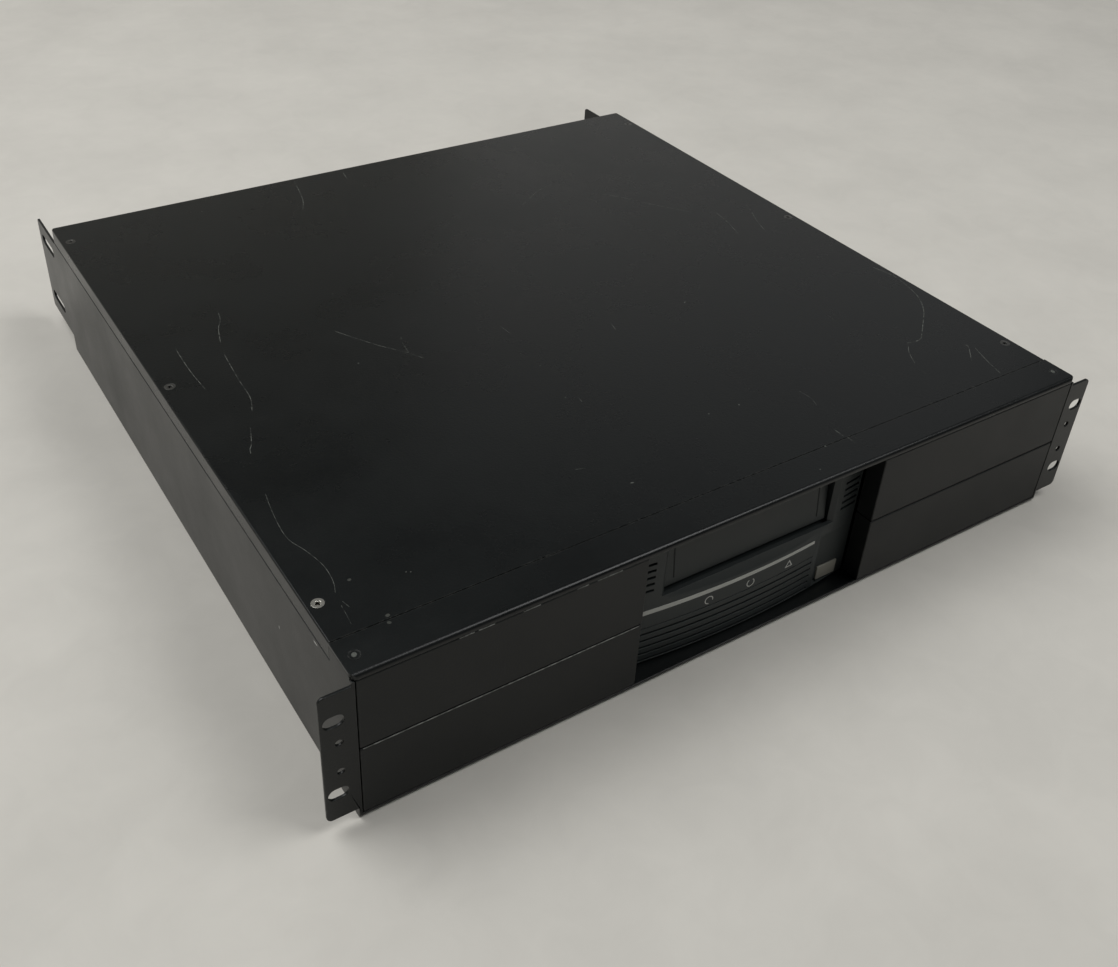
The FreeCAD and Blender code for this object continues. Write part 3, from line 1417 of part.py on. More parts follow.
def power_switch():
    """Rocker that tips about an axle in its frame."""
    half_width = "rocker_case_width / 2"
    case = span("rocker_case_block", (f"rocker_mid - {half_width}", "rear_face - rocker_depth",
                                      "rear_level - rocker_case_half"),
                (f"rocker_mid + {half_width}", "rear_face + rocker_rim_height",
                 "rear_level + rocker_case_half"))
    rim = span("rocker_case_rim", (f"rocker_mid - {half_width} - rocker_rim", "rear_face",
                                   "rear_level - rocker_case_half - rocker_rim"),
               (f"rocker_mid + {half_width} + rocker_rim", "rear_face + rocker_rim_height",
                "rear_level + rocker_case_half + rocker_rim"))
    well = span(
        "rocker_well",
        (f"rocker_mid - {half_width} + rocker_frame", "rear_face - rocker_depth + rocker_frame",
         "rear_level - rocker_case_half + rocker_frame"),
        (f"rocker_mid + {half_width} - rocker_frame", "rear_face + 2 * rocker_rim_height",
         "rear_level + rocker_case_half - rocker_frame"),
    )
    reach = "rocker_width / 2 + rocker_side_play + rocker_axle_reach"
    bore = cylinder("rocker_bore", (f"rocker_mid - ({reach})", "rocker_axis", "rear_level"),
                    "rocker_axle + rocker_axle_play", f"2 * ({reach})", "x")
    node(cut("switch_frame", fuse("rocker_case", case, rim), well, bore), "switch_frame")
    section = [
        ("-rocker_root", "-rocker_half + rocker_play"),
        ("rocker_reach", "-rocker_half"),
        ("rocker_reach - rocker_dish", "0"),
        ("rocker_reach", "rocker_half"),
        ("-rocker_root", "rocker_half - rocker_play"),
    ]
    key = doc.addObject("PartDesign::Body", "rocker_key_body")
    pad(key, "rocker_key", "YZ_Plane", section, "rocker_width", "-rocker_width / 2")
    axle_reach = "rocker_width / 2 + rocker_side_play + rocker_axle_reach - run_gap"
    axle = cylinder("rocker_axle_rod", (f"-({axle_reach})", "0", "0"), "rocker_axle",
                    f"2 * ({axle_reach})", "x")
    rocker = fuse("power_rocker", key, axle)
    rocker.Placement = FreeCAD.Placement(FreeCAD.Vector(), FreeCAD.Rotation(FreeCAD.Vector(1, 0, 0), 1))
    rocker.setExpression("Placement.Rotation.Angle", formula("rocker_tilt"))
    for letter, text in zip("xyz", ("rocker_mid", "rocker_axis", "rear_level")):
        rocker.setExpression("Placement.Base." + letter, formula(text))
    node(rocker, "power_rocker")


def data_ports():
    """Two bus connectors in the rear panel and the flat ribbon from the drive to the lower one."""
    ports = []
    half = "data_port_width / 2"
    tall = "data_port_height / 2"
    for row_index in range(DATA_PORTS):
        z = f"data_port_low + {row_index} * data_port_pitch"

        def dee(name, inset, start, end):
            """Shell outline, wider at its top, between two places along Y."""
            low, high = f"{z} - {tall} + {inset}", f"{z} + {tall} - {inset}"
            wide = f"({half} - {inset})"
            corners = [(f"-{wide} + data_port_taper", low), (f"{wide} - data_port_taper", low),
                       (wide, high), (f"-{wide}", high)]
            return prism(f"{name}_{row_index}", "XZ_Plane", corners, f"{end} - ({start})", start)

        hood = dee("port_hood", "0", "rear_inside - data_port_body", "rear_face + data_port_reach")
        well = dee("port_well", "data_port_wall", "rear_face + data_port_reach - data_port_well",
                   "rear_face + 2 * data_port_reach")
        plate = span(f"port_plate_{row_index}",
                     (f"-{half} - data_port_rim", "rear_face", f"{z} - {tall} - data_port_wall"),
                     (f"{half} + data_port_rim", "rear_face + data_port_plate",
                      f"{z} + {tall} + data_port_wall"))
        ports.append(cut(f"port_{row_index}", fuse(f"port_block_{row_index}", hood, plate), well))
    node(group("data_ports", *ports), "data_ports")
    bottom = "ribbon_z - ribbon_sheet / 2"
    upper = "data_port_low - ribbon_sheet / 2"
    corners = [
        ("plug_back", bottom),
        ("riser_y + ribbon_sheet", bottom),
        ("riser_y + ribbon_sheet", upper),
        ("ribbon_end", upper),
        ("ribbon_end", f"{upper} + ribbon_sheet"),
        ("riser_y", f"{upper} + ribbon_sheet"),
        ("riser_y", f"{bottom} + ribbon_sheet"),
        ("plug_back", f"{bottom} + ribbon_sheet"),
    ]
    ribbon = prism("data_ribbon", "YZ_Plane", corners, "ribbon_width", "-ribbon_width / 2")
    doc.recompute()
    reach = ribbon.Shape.BoundBox

    def bend(edge):
        spot = edge.CenterOfMass
        return abs(spot.x) < NEAR and reach.YMin + NEAR < spot.y < reach.YMax - NEAR

    def outer_bend(edge):
        return bend(edge) and min(edge.CenterOfMass.z - reach.ZMin, reach.ZMax - edge.CenterOfMass.z) < NEAR

    def inner_bend(edge):
        level = edge.CenterOfMass.z
        inside = reach.ZMin + NEAR < level < reach.ZMax - NEAR
        return bend(edge) and inside and edge.Length > reach.XLength - NEAR

    round_edges(ribbon, "ribbon_inner_bends", "ribbon_bend", inner_bend)
    round_edges(ribbon, "ribbon_outer_bends", "ribbon_bend + ribbon_sheet", outer_bend)
    node(ribbon, "data_ribbon")


def rear_panel():
    """Plate that closes the rear, with side flanges and the openings for what it carries."""
    plate = span("rear_plate", ("-rear_half", "rear_inside", "sheet"),
                 ("rear_half", "rear_face", "lid_under - rear_gap"))
    flanges = []
    for name, sign in SIDES:
        flanges.append(box(f"{name}_rear_flange",
                           (f"{sign} * rear_half - ({sign} + 1) / 2 * sheet",
                            "rear_inside - rear_flange + sheet", "sheet"),
                           ("sheet", "rear_flange", "rear_flange_height")))
    tools = [
        opening("inlet_cutout", "inlet_mid", "rear_level", "inlet_width / 2", "inlet_height / 2"),
        opening("rocker_cutout", "rocker_mid", "rear_level", "rocker_case_width / 2", "rocker_case_half"),
        cylinder("fan_cutout", ("fan_x", "rear_inside - sheet", "rear_level"), "fan_bore", "3 * sheet",
                 "y"),
    ]
    for row_index in range(DATA_PORTS):
        tools.append(opening(f"port_cutout_{row_index}", "0",
                             f"data_port_low + {row_index} * data_port_pitch",
                             "data_port_width / 2", "data_port_height / 2"))
    for name, x, z in fan_corners():
        tools.append(cylinder(f"{name}_panel_hole", (x, "rear_inside - sheet", z),
                              "fan_screw_radius + screw_play", "3 * sheet", "y"))
    node(cut("rear_panel", fuse("rear_sheet", plate, *flanges), *tools), "rear_panel")


def opening(name, x, z, half_width, half_height):
    """Rectangular cut-out tool through the rear panel."""
    return span(
        name,
        (f"{x} - {half_width} - cutout_play", "rear_inside - sheet", f"{z} - {half_height} - cutout_play"),
        (f"{x} + {half_width} + cutout_play", "rear_face + sheet", f"{z} + {half_height} + cutout_play"),
    )


def fan_corners():
    """Names and places of the fan's four screws."""
    return [
        (f"fan_{level}_{name}", f"fan_x + {sign} * fan_screw_spacing / 2",
         f"rear_level + {up} * fan_screw_spacing / 2")
        for name, sign in SIDES for level, up in (("low", "-1"), ("high", "1"))
    ]


def fan():
    """Axial fan on the rear panel: frame, bladed rotor, pressed guard and screws."""
    frame = rounded_block("fan_block",
                          rectangle("fan_left", "fan_low", "fan_left + fan_size", "fan_low + fan_size"),
                          "fan_depth", "fan_front", "fan_corner")
    bore = cylinder("fan_air_bore", ("fan_x", "fan_front - fan_plate", "rear_level"), "fan_bore",
                    "2 * fan_depth", "y")
    plate = cylinder("fan_motor_plate", ("fan_x", "fan_plate_front", "rear_level"), "fan_plate_radius",
                     "fan_plate", "y")
    reach = "(fan_bore + fan_plate / 3)"
    struts = [
        span("fan_strut_level", (f"fan_x - {reach}", "fan_plate_front", "rear_level - fan_strut / 2"),
             (f"fan_x + {reach}", "rear_inside", "rear_level + fan_strut / 2")),
        span("fan_strut_upright", ("fan_x - fan_strut / 2", "fan_plate_front", f"rear_level - {reach}"),
             ("fan_x + fan_strut / 2", "rear_inside", f"rear_level + {reach}")),
    ]
    bearing = cylinder("fan_bearing", ("fan_x", "fan_plate_front - fan_plate", "rear_level"),
                       "rotor_shaft + rotor_play", "2 * fan_plate - run_gap", "y")
    screws = []
    frame_holes = []
    eyes = []
    eye_holes = []
    for name, x, z in fan_corners():
        frame_holes.append(cylinder(f"{name}_hole", (x, "fan_front - fan_plate", z),
                                    "fan_screw_radius + screw_play", "2 * fan_depth", "y"))
        head_y = "rear_face + guard_sheet"
        screws.append(fuse(
            f"{name}_screw",
            cylinder(f"{name}_shank", (x, f"{head_y} - fan_screw_length", z), "fan_screw_radius",
                     "fan_screw_length", "y"),
            cylinder(f"{name}_head", (x, head_y, z), "guard_eye", "pan_head_height", "y"),
        ))
        eyes.append(cylinder(f"{name}_eye", (x, "rear_face", z), "guard_eye", "guard_sheet", "y"))
        eye_holes.append(cylinder(f"{name}_eye_hole", (x, "rear_face - guard_sheet", z),
                                  "fan_screw_radius + screw_play", "3 * guard_sheet", "y"))
    housing = fuse("fan_housing", cut("fan_ring", frame, bore), plate, *struts)
    node(cut("fan_frame", housing, bearing, *frame_holes), "fan_frame")
    node(group("fan_screws", *screws), "fan_screws")
    rotor = turned("fan_rotor", [
        ("0", "0"),
        ("rotor_radius", "0"),
        ("rotor_radius", "rotor_length"),
        ("rotor_shaft", "rotor_length"),
        ("rotor_shaft", "rotor_length + fan_plate"),
        ("0", "rotor_length + fan_plate"),
    ], ("fan_x", "rotor_back - rotor_length", "rear_level"), "y")
    blade = pad(rotor, "fan_blade", "YZ_Plane", [
        ("-blade_lean - blade_sheet / 2", "blade_margin"),
        ("-blade_lean + blade_sheet / 2", "blade_margin"),
        ("blade_lean + blade_sheet / 2", "rotor_length - blade_margin"),
        ("blade_lean - blade_sheet / 2", "rotor_length - blade_margin"),
    ], "blade_tip - blade_root", "blade_root")
    repeat(rotor, blade, BLADES)
    node(rotor, "fan_rotor")
    rings = []
    for index in range(GUARD_RINGS):
        middle = f"guard_first + {index} * guard_pitch"
        rings.append(turned(
            f"guard_ring_{index}",
            rectangle(f"{middle} - guard_wire", "0", f"{middle} + guard_wire", "guard_sheet"),
            ("fan_x", "rear_face", "rear_level"), "y"))
    spokes = []
    for index, angle in enumerate(GUARD_SPOKES):
        spoke = doc.addObject("Part::Box", f"guard_spoke_{index}")
        bind(spoke, Length="sqrt(2) * fan_screw_spacing", Width="guard_sheet", Height="2 * guard_wire")
        slant = FreeCAD.Rotation(FreeCAD.Vector(0, 1, 0), angle)
        spoke.Placement = FreeCAD.Placement(FreeCAD.Vector(), slant)
        turn = 1 if angle > 0 else -1
        corner = (f"fan_x - fan_screw_spacing / 2 - {turn} * guard_wire / sqrt(2)", "rear_face",
                  f"rear_level + {turn} * fan_screw_spacing / 2 - guard_wire / sqrt(2)")
        for letter, text in zip("xyz", corner):
            spoke.setExpression("Placement.Base." + letter, formula(text))
        spokes.append(spoke)
    node(cut("fan_guard", fuse("guard_pressing", *rings, *spokes, *eyes), *eye_holes), "fan_guard")


def write_parts():
    """Check every object, then write each sub-part to its file."""
    doc.recompute()
    for item in doc.Objects:
        if "Invalid" in item.State or "Error" in item.State:
            raise RuntimeError(f"{item.Name} failed: {item.State}")
    for item in nodes:
        if item.Shape.isNull() or not item.Shape.isValid() or not item.Shape.Solids:
            raise RuntimeError(f"{item.Label} has no valid solid")
    os.makedirs("parts", exist_ok=True)
    for item in nodes:
        item.Shape.exportStep(f"parts/{item.Label}.step")
        print(item.Label, len(item.Shape.Solids), round(item.Shape.Volume, 1))


chassis_tray()
front_header()
lid_and_rails()
blank_panels()
dividers_and_drive_screws()
drive_casing()
drive_bezel()
cartridge_door()
eject_button()
cartridge_receiver()
reels()
guide_rollers()
head_lift()
controller_board()
power_supply()
mains_inlet()
power_switch()
data_ports()
rear_panel()
fan()
write_parts()
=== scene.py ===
"""Studio scene of a rack tape drive: its frame comes packed, and this script gives it its looks."""

from __future__ import annotations

import json
import logging
import math
from contextlib import contextmanager
from dataclasses import dataclass, field
from enum import Enum
from typing import Any, Callable, Iterator, Sequence

import bpy
from mathutils import Matrix, Vector
from mathutils.geometry import interpolate_bezier

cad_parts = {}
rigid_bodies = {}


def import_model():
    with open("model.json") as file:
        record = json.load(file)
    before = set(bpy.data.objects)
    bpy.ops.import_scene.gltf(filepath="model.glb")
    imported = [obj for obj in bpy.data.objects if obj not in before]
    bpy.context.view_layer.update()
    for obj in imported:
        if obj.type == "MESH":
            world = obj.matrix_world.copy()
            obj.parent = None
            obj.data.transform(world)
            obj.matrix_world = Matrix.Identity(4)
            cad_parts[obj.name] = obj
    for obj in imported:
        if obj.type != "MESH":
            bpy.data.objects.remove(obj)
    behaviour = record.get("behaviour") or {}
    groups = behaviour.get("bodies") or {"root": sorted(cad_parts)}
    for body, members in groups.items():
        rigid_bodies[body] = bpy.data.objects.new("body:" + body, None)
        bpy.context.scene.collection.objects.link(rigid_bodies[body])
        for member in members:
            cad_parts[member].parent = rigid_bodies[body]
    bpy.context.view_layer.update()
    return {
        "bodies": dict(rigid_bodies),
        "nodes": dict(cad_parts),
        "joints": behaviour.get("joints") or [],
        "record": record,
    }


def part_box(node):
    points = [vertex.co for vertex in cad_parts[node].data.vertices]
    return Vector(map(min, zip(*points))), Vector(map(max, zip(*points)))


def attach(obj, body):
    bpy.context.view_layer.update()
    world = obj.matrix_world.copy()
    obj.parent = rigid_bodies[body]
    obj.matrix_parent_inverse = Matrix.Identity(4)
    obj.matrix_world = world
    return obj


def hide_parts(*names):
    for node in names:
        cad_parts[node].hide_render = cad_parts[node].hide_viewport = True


MM = 0.001
PHOTO_WIDTH = 1118
PHOTO_HEIGHT = 967
MERGE = 0.002 * MM
FLAT = math.radians(0.4)
SHARP = math.radians(35.0)
QUARTER = math.pi / 2
# A face whose normal reaches this far along an axis is square to that axis.
SQUARE = 0.99
# Strongest pull of large faces on the normals at their corners.
FLATS_FIRST = 100
EDGE_STEPS = 2
RING_SIDES = 24
INK_DEPTH = 0.03 * MM
ENCLOSURE = "enclosure"
ORIGIN = (0.0, 0.0, 0.0)
# Most of a noise pattern's values lie in this span.
NOISE = (0.3, 0.7)
# Kinds of noise, from plain to crumbly.
GRAIN = {"Detail": 2.0}
STREAKS = {"Detail": 3.0}
CLOUDS = {"Detail": 4.0}
STAINS = {"Detail": 5.0}
DRIFTS = {"Detail": 6.0, "Roughness": 0.62}
CREASES = {"Detail": 5.0, "Roughness": 0.6, "Distortion": 0.8}
CRUMBS = {"Detail": 3.0, "Roughness": 0.8}

Span = tuple[float, float]
Pixel = tuple[float, float]
Triple = tuple[float, float, float]
Colour = tuple[float, float, float, float]
Frame = dict[str, Any]
Inputs = dict[Any, Any]
Piece = bpy.types.Object
Tree = bpy.types.NodeTree
Socket = bpy.types.NodeSocket
Test = Callable[[Vector, Vector], bool]
log = logging.getLogger("rack_tape_drive")


def linear(code: str) -> Colour:
    """Turn an sRGB hex colour into linear light.

    Args:
        code: colour as six hex digits with a leading #.

    Returns:
        Linear red, green, blue and full alpha.
    """
    channels = [int(code[i : i + 2], 16) / 255 for i in (1, 3, 5)]
    light = [c / 12.92 if c <= 0.04045 else ((c + 0.055) / 1.055) ** 2.4 for c in channels]
    return (light[0], light[1], light[2], 1.0)


def sized(place: Socket, size_mm: float) -> Inputs:
    """Inputs of a texture whose grains are this many millimetres across."""
    return {"Vector": place, "Scale": 1 / (size_mm * MM)}


def ends(side: str, span: Span, middle: float = 0.0) -> Inputs:
    """Inputs for the ends of a span around a middle, on the From or the To side of a range."""
    return {f"{side} Min": middle + span[0], f"{side} Max": middle + span[1]}


def add(
    tree: Tree, kind: str, inputs: Inputs | None = None, out: str = "", **settings: Any
) -> Socket | None:
    """Add a shader node with its settings and links.

    Args:
        tree: node tree to add to.
        kind: node type without its ShaderNode prefix.
        inputs: socket name or index to a value or to another node's output.
        out: name of the output wanted, where it isn't the first one in use.
        settings: properties of the node.

    Returns:
        The node's output, if it has any.
    """
    node = tree.nodes.new("ShaderNode" + kind)
    for name, value in settings.items():
        setattr(node, name, value)
    for socket, value in (inputs or {}).items():
        if isinstance(value, Socket):
            tree.links.new(value, node.inputs[socket])
        else:
            node.inputs[socket].default_value = value
    return next((o for o in node.outputs if o.enabled and out in ("", o.name)), None)


def mottled(tree: Tree, code: str, pattern: Socket, span: Span, tones: Span) -> Socket:
    """Make a colour darker and lighter where a pattern says so.

    Args:
        tree: the material's node tree.
        code: the colour.
        pattern: the pattern's values.
        span: the values that the tones are spread over.
        tones: darkest and lightest tone, as shares of the colour.

    Returns:
        The mottled colour.
    """
    tone = add(tree, "MapRange", {"Value": pattern, **ends("From", span), **ends("To", tones)})
    return add(tree, "Mix", {"Factor": 1.0, "A": linear(code), "B": tone}, data_type="RGBA",
               blend_type="MULTIPLY")


@dataclass(frozen=True)
class Finish:
    """Base of every finish: a named material with a principled shader on object coordinates."""

    name: str

    def build(self) -> bpy.types.Material:
        """Make the material.

        Returns:
            The material with its nodes.
        """
        material = bpy.data.materials.new(self.name)
        material.use_nodes = True
        tree = material.node_tree
        tree.nodes.clear()
        place = add(tree, "TexCoord", out="Object")
        shader = add(tree, "BsdfPrincipled", self.dress(tree, place))
        add(tree, "OutputMaterial", {"Surface": shader})
        return material

    def dress(self, tree: Tree, place: Socket) -> Inputs:
        """Add the finish's own nodes.

        Args:
            tree: the material's node tree.
            place: object coordinates.

        Returns:
            Inputs of the principled shader.
        """
        raise NotImplementedError


@dataclass(frozen=True)
class PowderCoat(Finish):
    """Black polyester powder coat, baked on sheet steel: a fine orange peel that breaks up the
    gloss, cloudy where hands have rubbed it, and paler along the edges, where it has worn thin."""

    colour: str = "#0c0f0f"
    rubbed: str = "#5b5c58"
    roughness: float = 0.46
    swing: Span = (-0.05, 0.06)
    specular: float = 0.3
    # Real orange peel is near 0.4 mm across; it is drawn this coarse so that it shows.
    peel_mm: float = 1.1
    peel_depth_mm: float = 0.12
    peel_strength: float = 0.4
    cloud_mm: float = 70.0
    tones: Span = (0.8, 1.25)
    dust_mm: float = 2.2
    dust_span: Span = (0.7, 0.82)
    dust: float = 0.22
    edge_mm: float = 0.8
    edge_samples: int = 4
    turn_span: Span = (0.99, 0.88)
    wear_mm: float = 2.2
    wear_span: Span = (0.44, 0.66)
    wear: float = 0.55

    def dress(self, tree: Tree, place: Socket) -> Inputs:
        """Peel as bump, clouds in tone and gloss, flecks of dust, and wear where the edges turn.

        Args:
            tree: the material's node tree.
            place: object coordinates.

        Returns:
            Inputs of the principled shader.
        """
        peel = add(tree, "TexNoise", sized(place, self.peel_mm) | GRAIN)
        cloud = add(tree, "TexNoise", sized(place, self.cloud_mm) | DRIFTS)
        fleck = add(tree, "TexNoise", sized(place, self.dust_mm) | CRUMBS)
        rub = add(tree, "TexNoise", sized(place, self.wear_mm) | CRUMBS)
        body = mottled(tree, self.colour, cloud, NOISE, self.tones)
        dust = add(tree, "MapRange",
                   {"Value": fleck, **ends("From", self.dust_span), "To Max": self.dust})
        rounded = add(tree, "Bevel", {"Radius": self.edge_mm * MM}, samples=self.edge_samples)
        flat = add(tree, "NewGeometry", out="Normal")
        facing = add(tree, "VectorMath", {0: rounded, 1: flat}, operation="DOT_PRODUCT")
        turned = add(tree, "MapRange", {"Value": facing, **ends("From", self.turn_span)})
        patch = add(tree, "MapRange", {"Value": rub, **ends("From", self.wear_span)})
        worn = add(tree, "Math", {0: turned, 1: patch}, operation="MULTIPLY")
        thin = add(tree, "Math", {0: worn, 1: self.wear, 2: dust}, operation="MULTIPLY_ADD",
                   use_clamp=True)
        colour = add(tree, "Mix", {"Factor": thin, "A": body, "B": linear(self.rubbed)},
                     data_type="RGBA")
        gloss = add(tree, "MapRange", {"Value": cloud, **ends("From", NOISE),
                                       **ends("To", self.swing, self.roughness)})
        bump = add(tree, "Bump", {"Height": peel, "Strength": self.peel_strength,
                                  "Distance": self.peel_depth_mm * MM})
        return {"Base Color": colour, "Roughness": gloss, "Normal": bump,
                "Specular IOR Level": self.specular}


@dataclass(frozen=True)
class MouldedPlastic(Finish):
    """Injection-moulded plastic from a spark-eroded mould: an even grain, a soft broad sheen and a
    slight mottle."""

    colour: str = "#232828"
    roughness: float = 0.48
    # Spark-eroded grain is near 0.1 mm across; it is drawn this coarse so that it shows.
    grain_mm: float = 0.6
    mottle: float = 0.08
    mottle_mm: float = 16.0
    specular: float = 0.42
    swing: Span = (-0.08, 0.08)
    grain_depth_mm: float = 0.06
    grain_strength: float = 0.25

    def dress(self, tree: Tree, place: Socket) -> Inputs:
        """Grain as bump, and a mottle in colour and gloss.

        Args:
            tree: the material's node tree.
            place: object coordinates.

        Returns:
            Inputs of the principled shader.
        """
        grain = add(tree, "TexNoise", sized(place, self.grain_mm) | GRAIN)
        cloud = add(tree, "TexNoise", sized(place, self.mottle_mm) | CLOUDS)
        tones = (1 - self.mottle, 1 + self.mottle)
        gloss = add(tree, "MapRange", {"Value": cloud, **ends("To", self.swing, self.roughness)})
        bump = add(tree, "Bump", {"Height": grain, "Strength": self.grain_strength,
                                  "Distance": self.grain_depth_mm * MM})
        return {"Base Color": mottled(tree, self.colour, cloud, NOISE, tones),
                "Roughness": gloss, "Normal": bump, "Specular IOR Level": self.specular}


@dataclass(frozen=True)
class Metal(Finish):
    """Bare or plated metal: drawn streaks along one axis that stretch its gloss, and a faint
    tarnish."""

    colour: str = "#b9b9b6"
    roughness: float = 0.35
    streak_mm: float = 0.5
    stretch: Triple = (1.0, 0.05, 1.0)
    swing: Span = (-0.1, 0.12)
    streak_depth_mm: float = 0.03
    streak_strength: float = 0.12
    tarnish_mm: float = 28.0
    tones: Span = (0.82, 1.0)

    def dress(self, tree: Tree, place: Socket) -> Inputs:
        """Streaks in the gloss and bump, tarnish in the colour.

        Args:
            tree: the material's node tree.
            place: object coordinates.

        Returns:
            Inputs of the principled shader.
        """
        drawn = add(tree, "Mapping", {"Vector": place, "Scale": self.stretch})
        streak = add(tree, "TexNoise", sized(drawn, self.streak_mm) | STREAKS)
        stain = add(tree, "TexNoise", sized(place, self.tarnish_mm) | STAINS)
        gloss = add(tree, "MapRange", {"Value": streak, **ends("To", self.swing, self.roughness)})
        bump = add(tree, "Bump", {"Height": streak, "Strength": self.streak_strength,
                                  "Distance": self.streak_depth_mm * MM})
        return {"Base Color": mottled(tree, self.colour, stain, NOISE, self.tones),
                "Metallic": 1.0, "Roughness": gloss, "Normal": bump}


@dataclass(frozen=True)
class CircuitBoard(Finish):
    """Glass-epoxy board under green solder resist: copper shows through as paler tracks."""

    colour: str = "#12492c"
    track: str = "#2a7a4c"
    pitch_mm: float = 2.54
    track_share: float = 0.06
    roughness: float = 0.3

    def dress(self, tree: Tree, place: Socket) -> Inputs:
        """Tracks on the board's pitch, glossy over all.

        Args:
            tree: the material's node tree.
            place: object coordinates.

        Returns:
            Inputs of the principled shader.
        """
        board = linear(self.colour)
        cells = add(tree, "TexBrick", sized(place, self.pitch_mm) | {
            "Mortar Size": self.track_share, "Color1": board, "Color2": board,
            "Mortar": linear(self.track)})
        return {"Base Color": cells, "Roughness": self.roughness}


@dataclass(frozen=True)
class FaintMark(Finish):
    """A thin mark on a surface: patchy, so that it fades in and out along its length."""

    colour: str
    ground: str = "#0c0f0f"
    patch_mm: float = 3.0
    least: float = 0.35
    patch_span: Span = (0.38, 0.62)
    roughness: float = 0.5
    specular: float = 0.3

    def dress(self, tree: Tree, place: Socket) -> Inputs:
        """Mix the mark's colour with that of the surface under it, in patches.

        Args:
            tree: the material's node tree.
            place: object coordinates.

        Returns:
            Inputs of the principled shader.
        """
        patch = add(tree, "TexNoise", sized(place, self.patch_mm) | STREAKS)
        share = add(tree, "MapRange",
                    {"Value": patch, **ends("From", self.patch_span), "To Min": self.least})
        colour = add(tree, "Mix", {"Factor": share, "A": linear(self.ground),
                                   "B": linear(self.colour)}, data_type="RGBA")
        return {"Base Color": colour, "Roughness": self.roughness,
                "Specular IOR Level": self.specular}


@dataclass(frozen=True)
class PalePaper(Finish):
    """Pale backdrop paper, unrolled and a little crumpled: matt, with faint clouds and folds."""

    colour: str = "#d3d0c8"
    cloud_mm: float = 110.0
    fold_mm: float = 26.0
    fold_share: float = 0.5
    span: Span = (0.5, 1.0)
    tones: Span = (0.94, 1.05)
    roughness: float = 0.8

    def dress(self, tree: Tree, place: Socket) -> Inputs:
        """Clouds and folds in tone only, so that it lies flat.

        Args:
            tree: the material's node tree.
            place: object coordinates.

        Returns:
            Inputs of the principled shader.
        """
        cloud = add(tree, "TexNoise", sized(place, self.cloud_mm) | CLOUDS)
        fold = add(tree, "TexNoise", sized(place, self.fold_mm) | CREASES)
        both = add(tree, "Math", {0: fold, 1: self.fold_share, 2: cloud}, operation="MULTIPLY_ADD")
        return {"Base Color": mottled(tree, self.colour, both, self.span, self.tones),
                "Roughness": self.roughness}


class Look(Enum):
    """Finishes of the record's material slots, each under its slot's name."""

    POWDER_COAT = PowderCoat("powder_coat_black")
    ZINC_STEEL = Metal("zinc_plated_steel", "#a9aaa6", 0.42)
    SCREW_STEEL = Metal("black_zinc_steel", "#6a6a67", 0.36)
    BEZEL_PLASTIC = MouldedPlastic("moulded_abs_black")
    SILVER_TRIM = MouldedPlastic("silver_lacquer", "#aaaba6", 0.36, 0.8, 0.04)
    CLEAR_PLASTIC = MouldedPlastic("clear_acrylic", "#b9bfba", 0.15, 4.0, 0.03)
    GREY_PLASTIC = MouldedPlastic("moulded_abs_grey", "#86847b", 0.5)
    BRIGHT_STEEL = Metal("ground_steel", "#c6c6c4", 0.25, 0.3, (1.0, 1.0, 0.08))
    CAST_ALUMINIUM = Metal("die_cast_aluminium", "#a3a4a5", 0.5, 0.9, (1.0, 1.0, 1.0))
    SUPPLY_CASE = Metal("plain_aluminium_sheet", "#adaeaf", 0.45)
    MOTOR_BLACK = MouldedPlastic("satin_black_enamel", "#2a2a2a", 0.35)
    REEL_PLASTIC = MouldedPlastic("natural_acetal", "#b9b8b1", 0.4)
    HEAD_FERRITE = MouldedPlastic("polished_ferrite", "#39393c", 0.12, 3.0, 0.03)
    BOARD_GREEN = CircuitBoard("solder_resist_green")
    BLACK_PLASTIC = MouldedPlastic("moulded_nylon_black", "#1a1a1a", 0.45)
    STANDOFF_BRASS = Metal("turned_brass", "#b89a55", 0.3, 0.3, (1.0, 1.0, 0.1))
    RIBBON_GREY = MouldedPlastic("ribbon_pvc_grey", "#969696", 0.5)
    GUARD_WIRE = Metal("bright_chrome_pressing", "#d0d0d0", 0.15, 0.4, (1.0, 1.0, 1.0))

    @property
    def slot(self) -> str:
        """Name of the record's material slot."""
        return self.name.lower()


class Detail(Enum):
    """Finishes of marks and small fittings that have no slot of their own."""

    SCRATCH = FaintMark("primer_in_a_scratch", "#62655f", patch_mm=2.5, least=0.08)
    CHIP = FaintMark("primer_in_a_chip", "#3b3d38", "#292b28", 1.0, 0.5)
    NICK = FaintMark("bare_metal_in_a_nick", "#565954", "#383b37", 1.0, 0.4)
    # Bare metal worn through on the upper left panel's edge; on the lower left panel the same pale
    # strip is a painted highlight.
    WORN_EDGE = FaintMark("bare_metal_on_an_edge", "#8f918d", "#3c3e3b", 2.5, 0.25)
    FRESH_STEEL = FaintMark("fresh_steel_in_a_nick", "#e2e2de", "#b2b3ae", 1.0, 0.5)
    INK = FaintMark("white_pad_print", "#bcbdb9", "#a4a5a1", 1.0, 0.6)
    BRIGHT_ZINC = Metal("bright_zinc_steel", "#c9c7be", 0.3, 0.3, (1.0, 1.0, 1.0))
    NICKEL = Metal("nickel_plated_brass", "#c2bfb4", 0.25, 0.3, (1.0, 0.1, 1.0))
    GILT = Metal("gold_flashed_contact", "#c8a85a", 0.25, 0.3, (1.0, 0.1, 1.0))
    LID_COAT = PowderCoat("powder_coat_handled", roughness=0.28)
    TRAY_COAT = PowderCoat("powder_coat_satin", roughness=0.33)


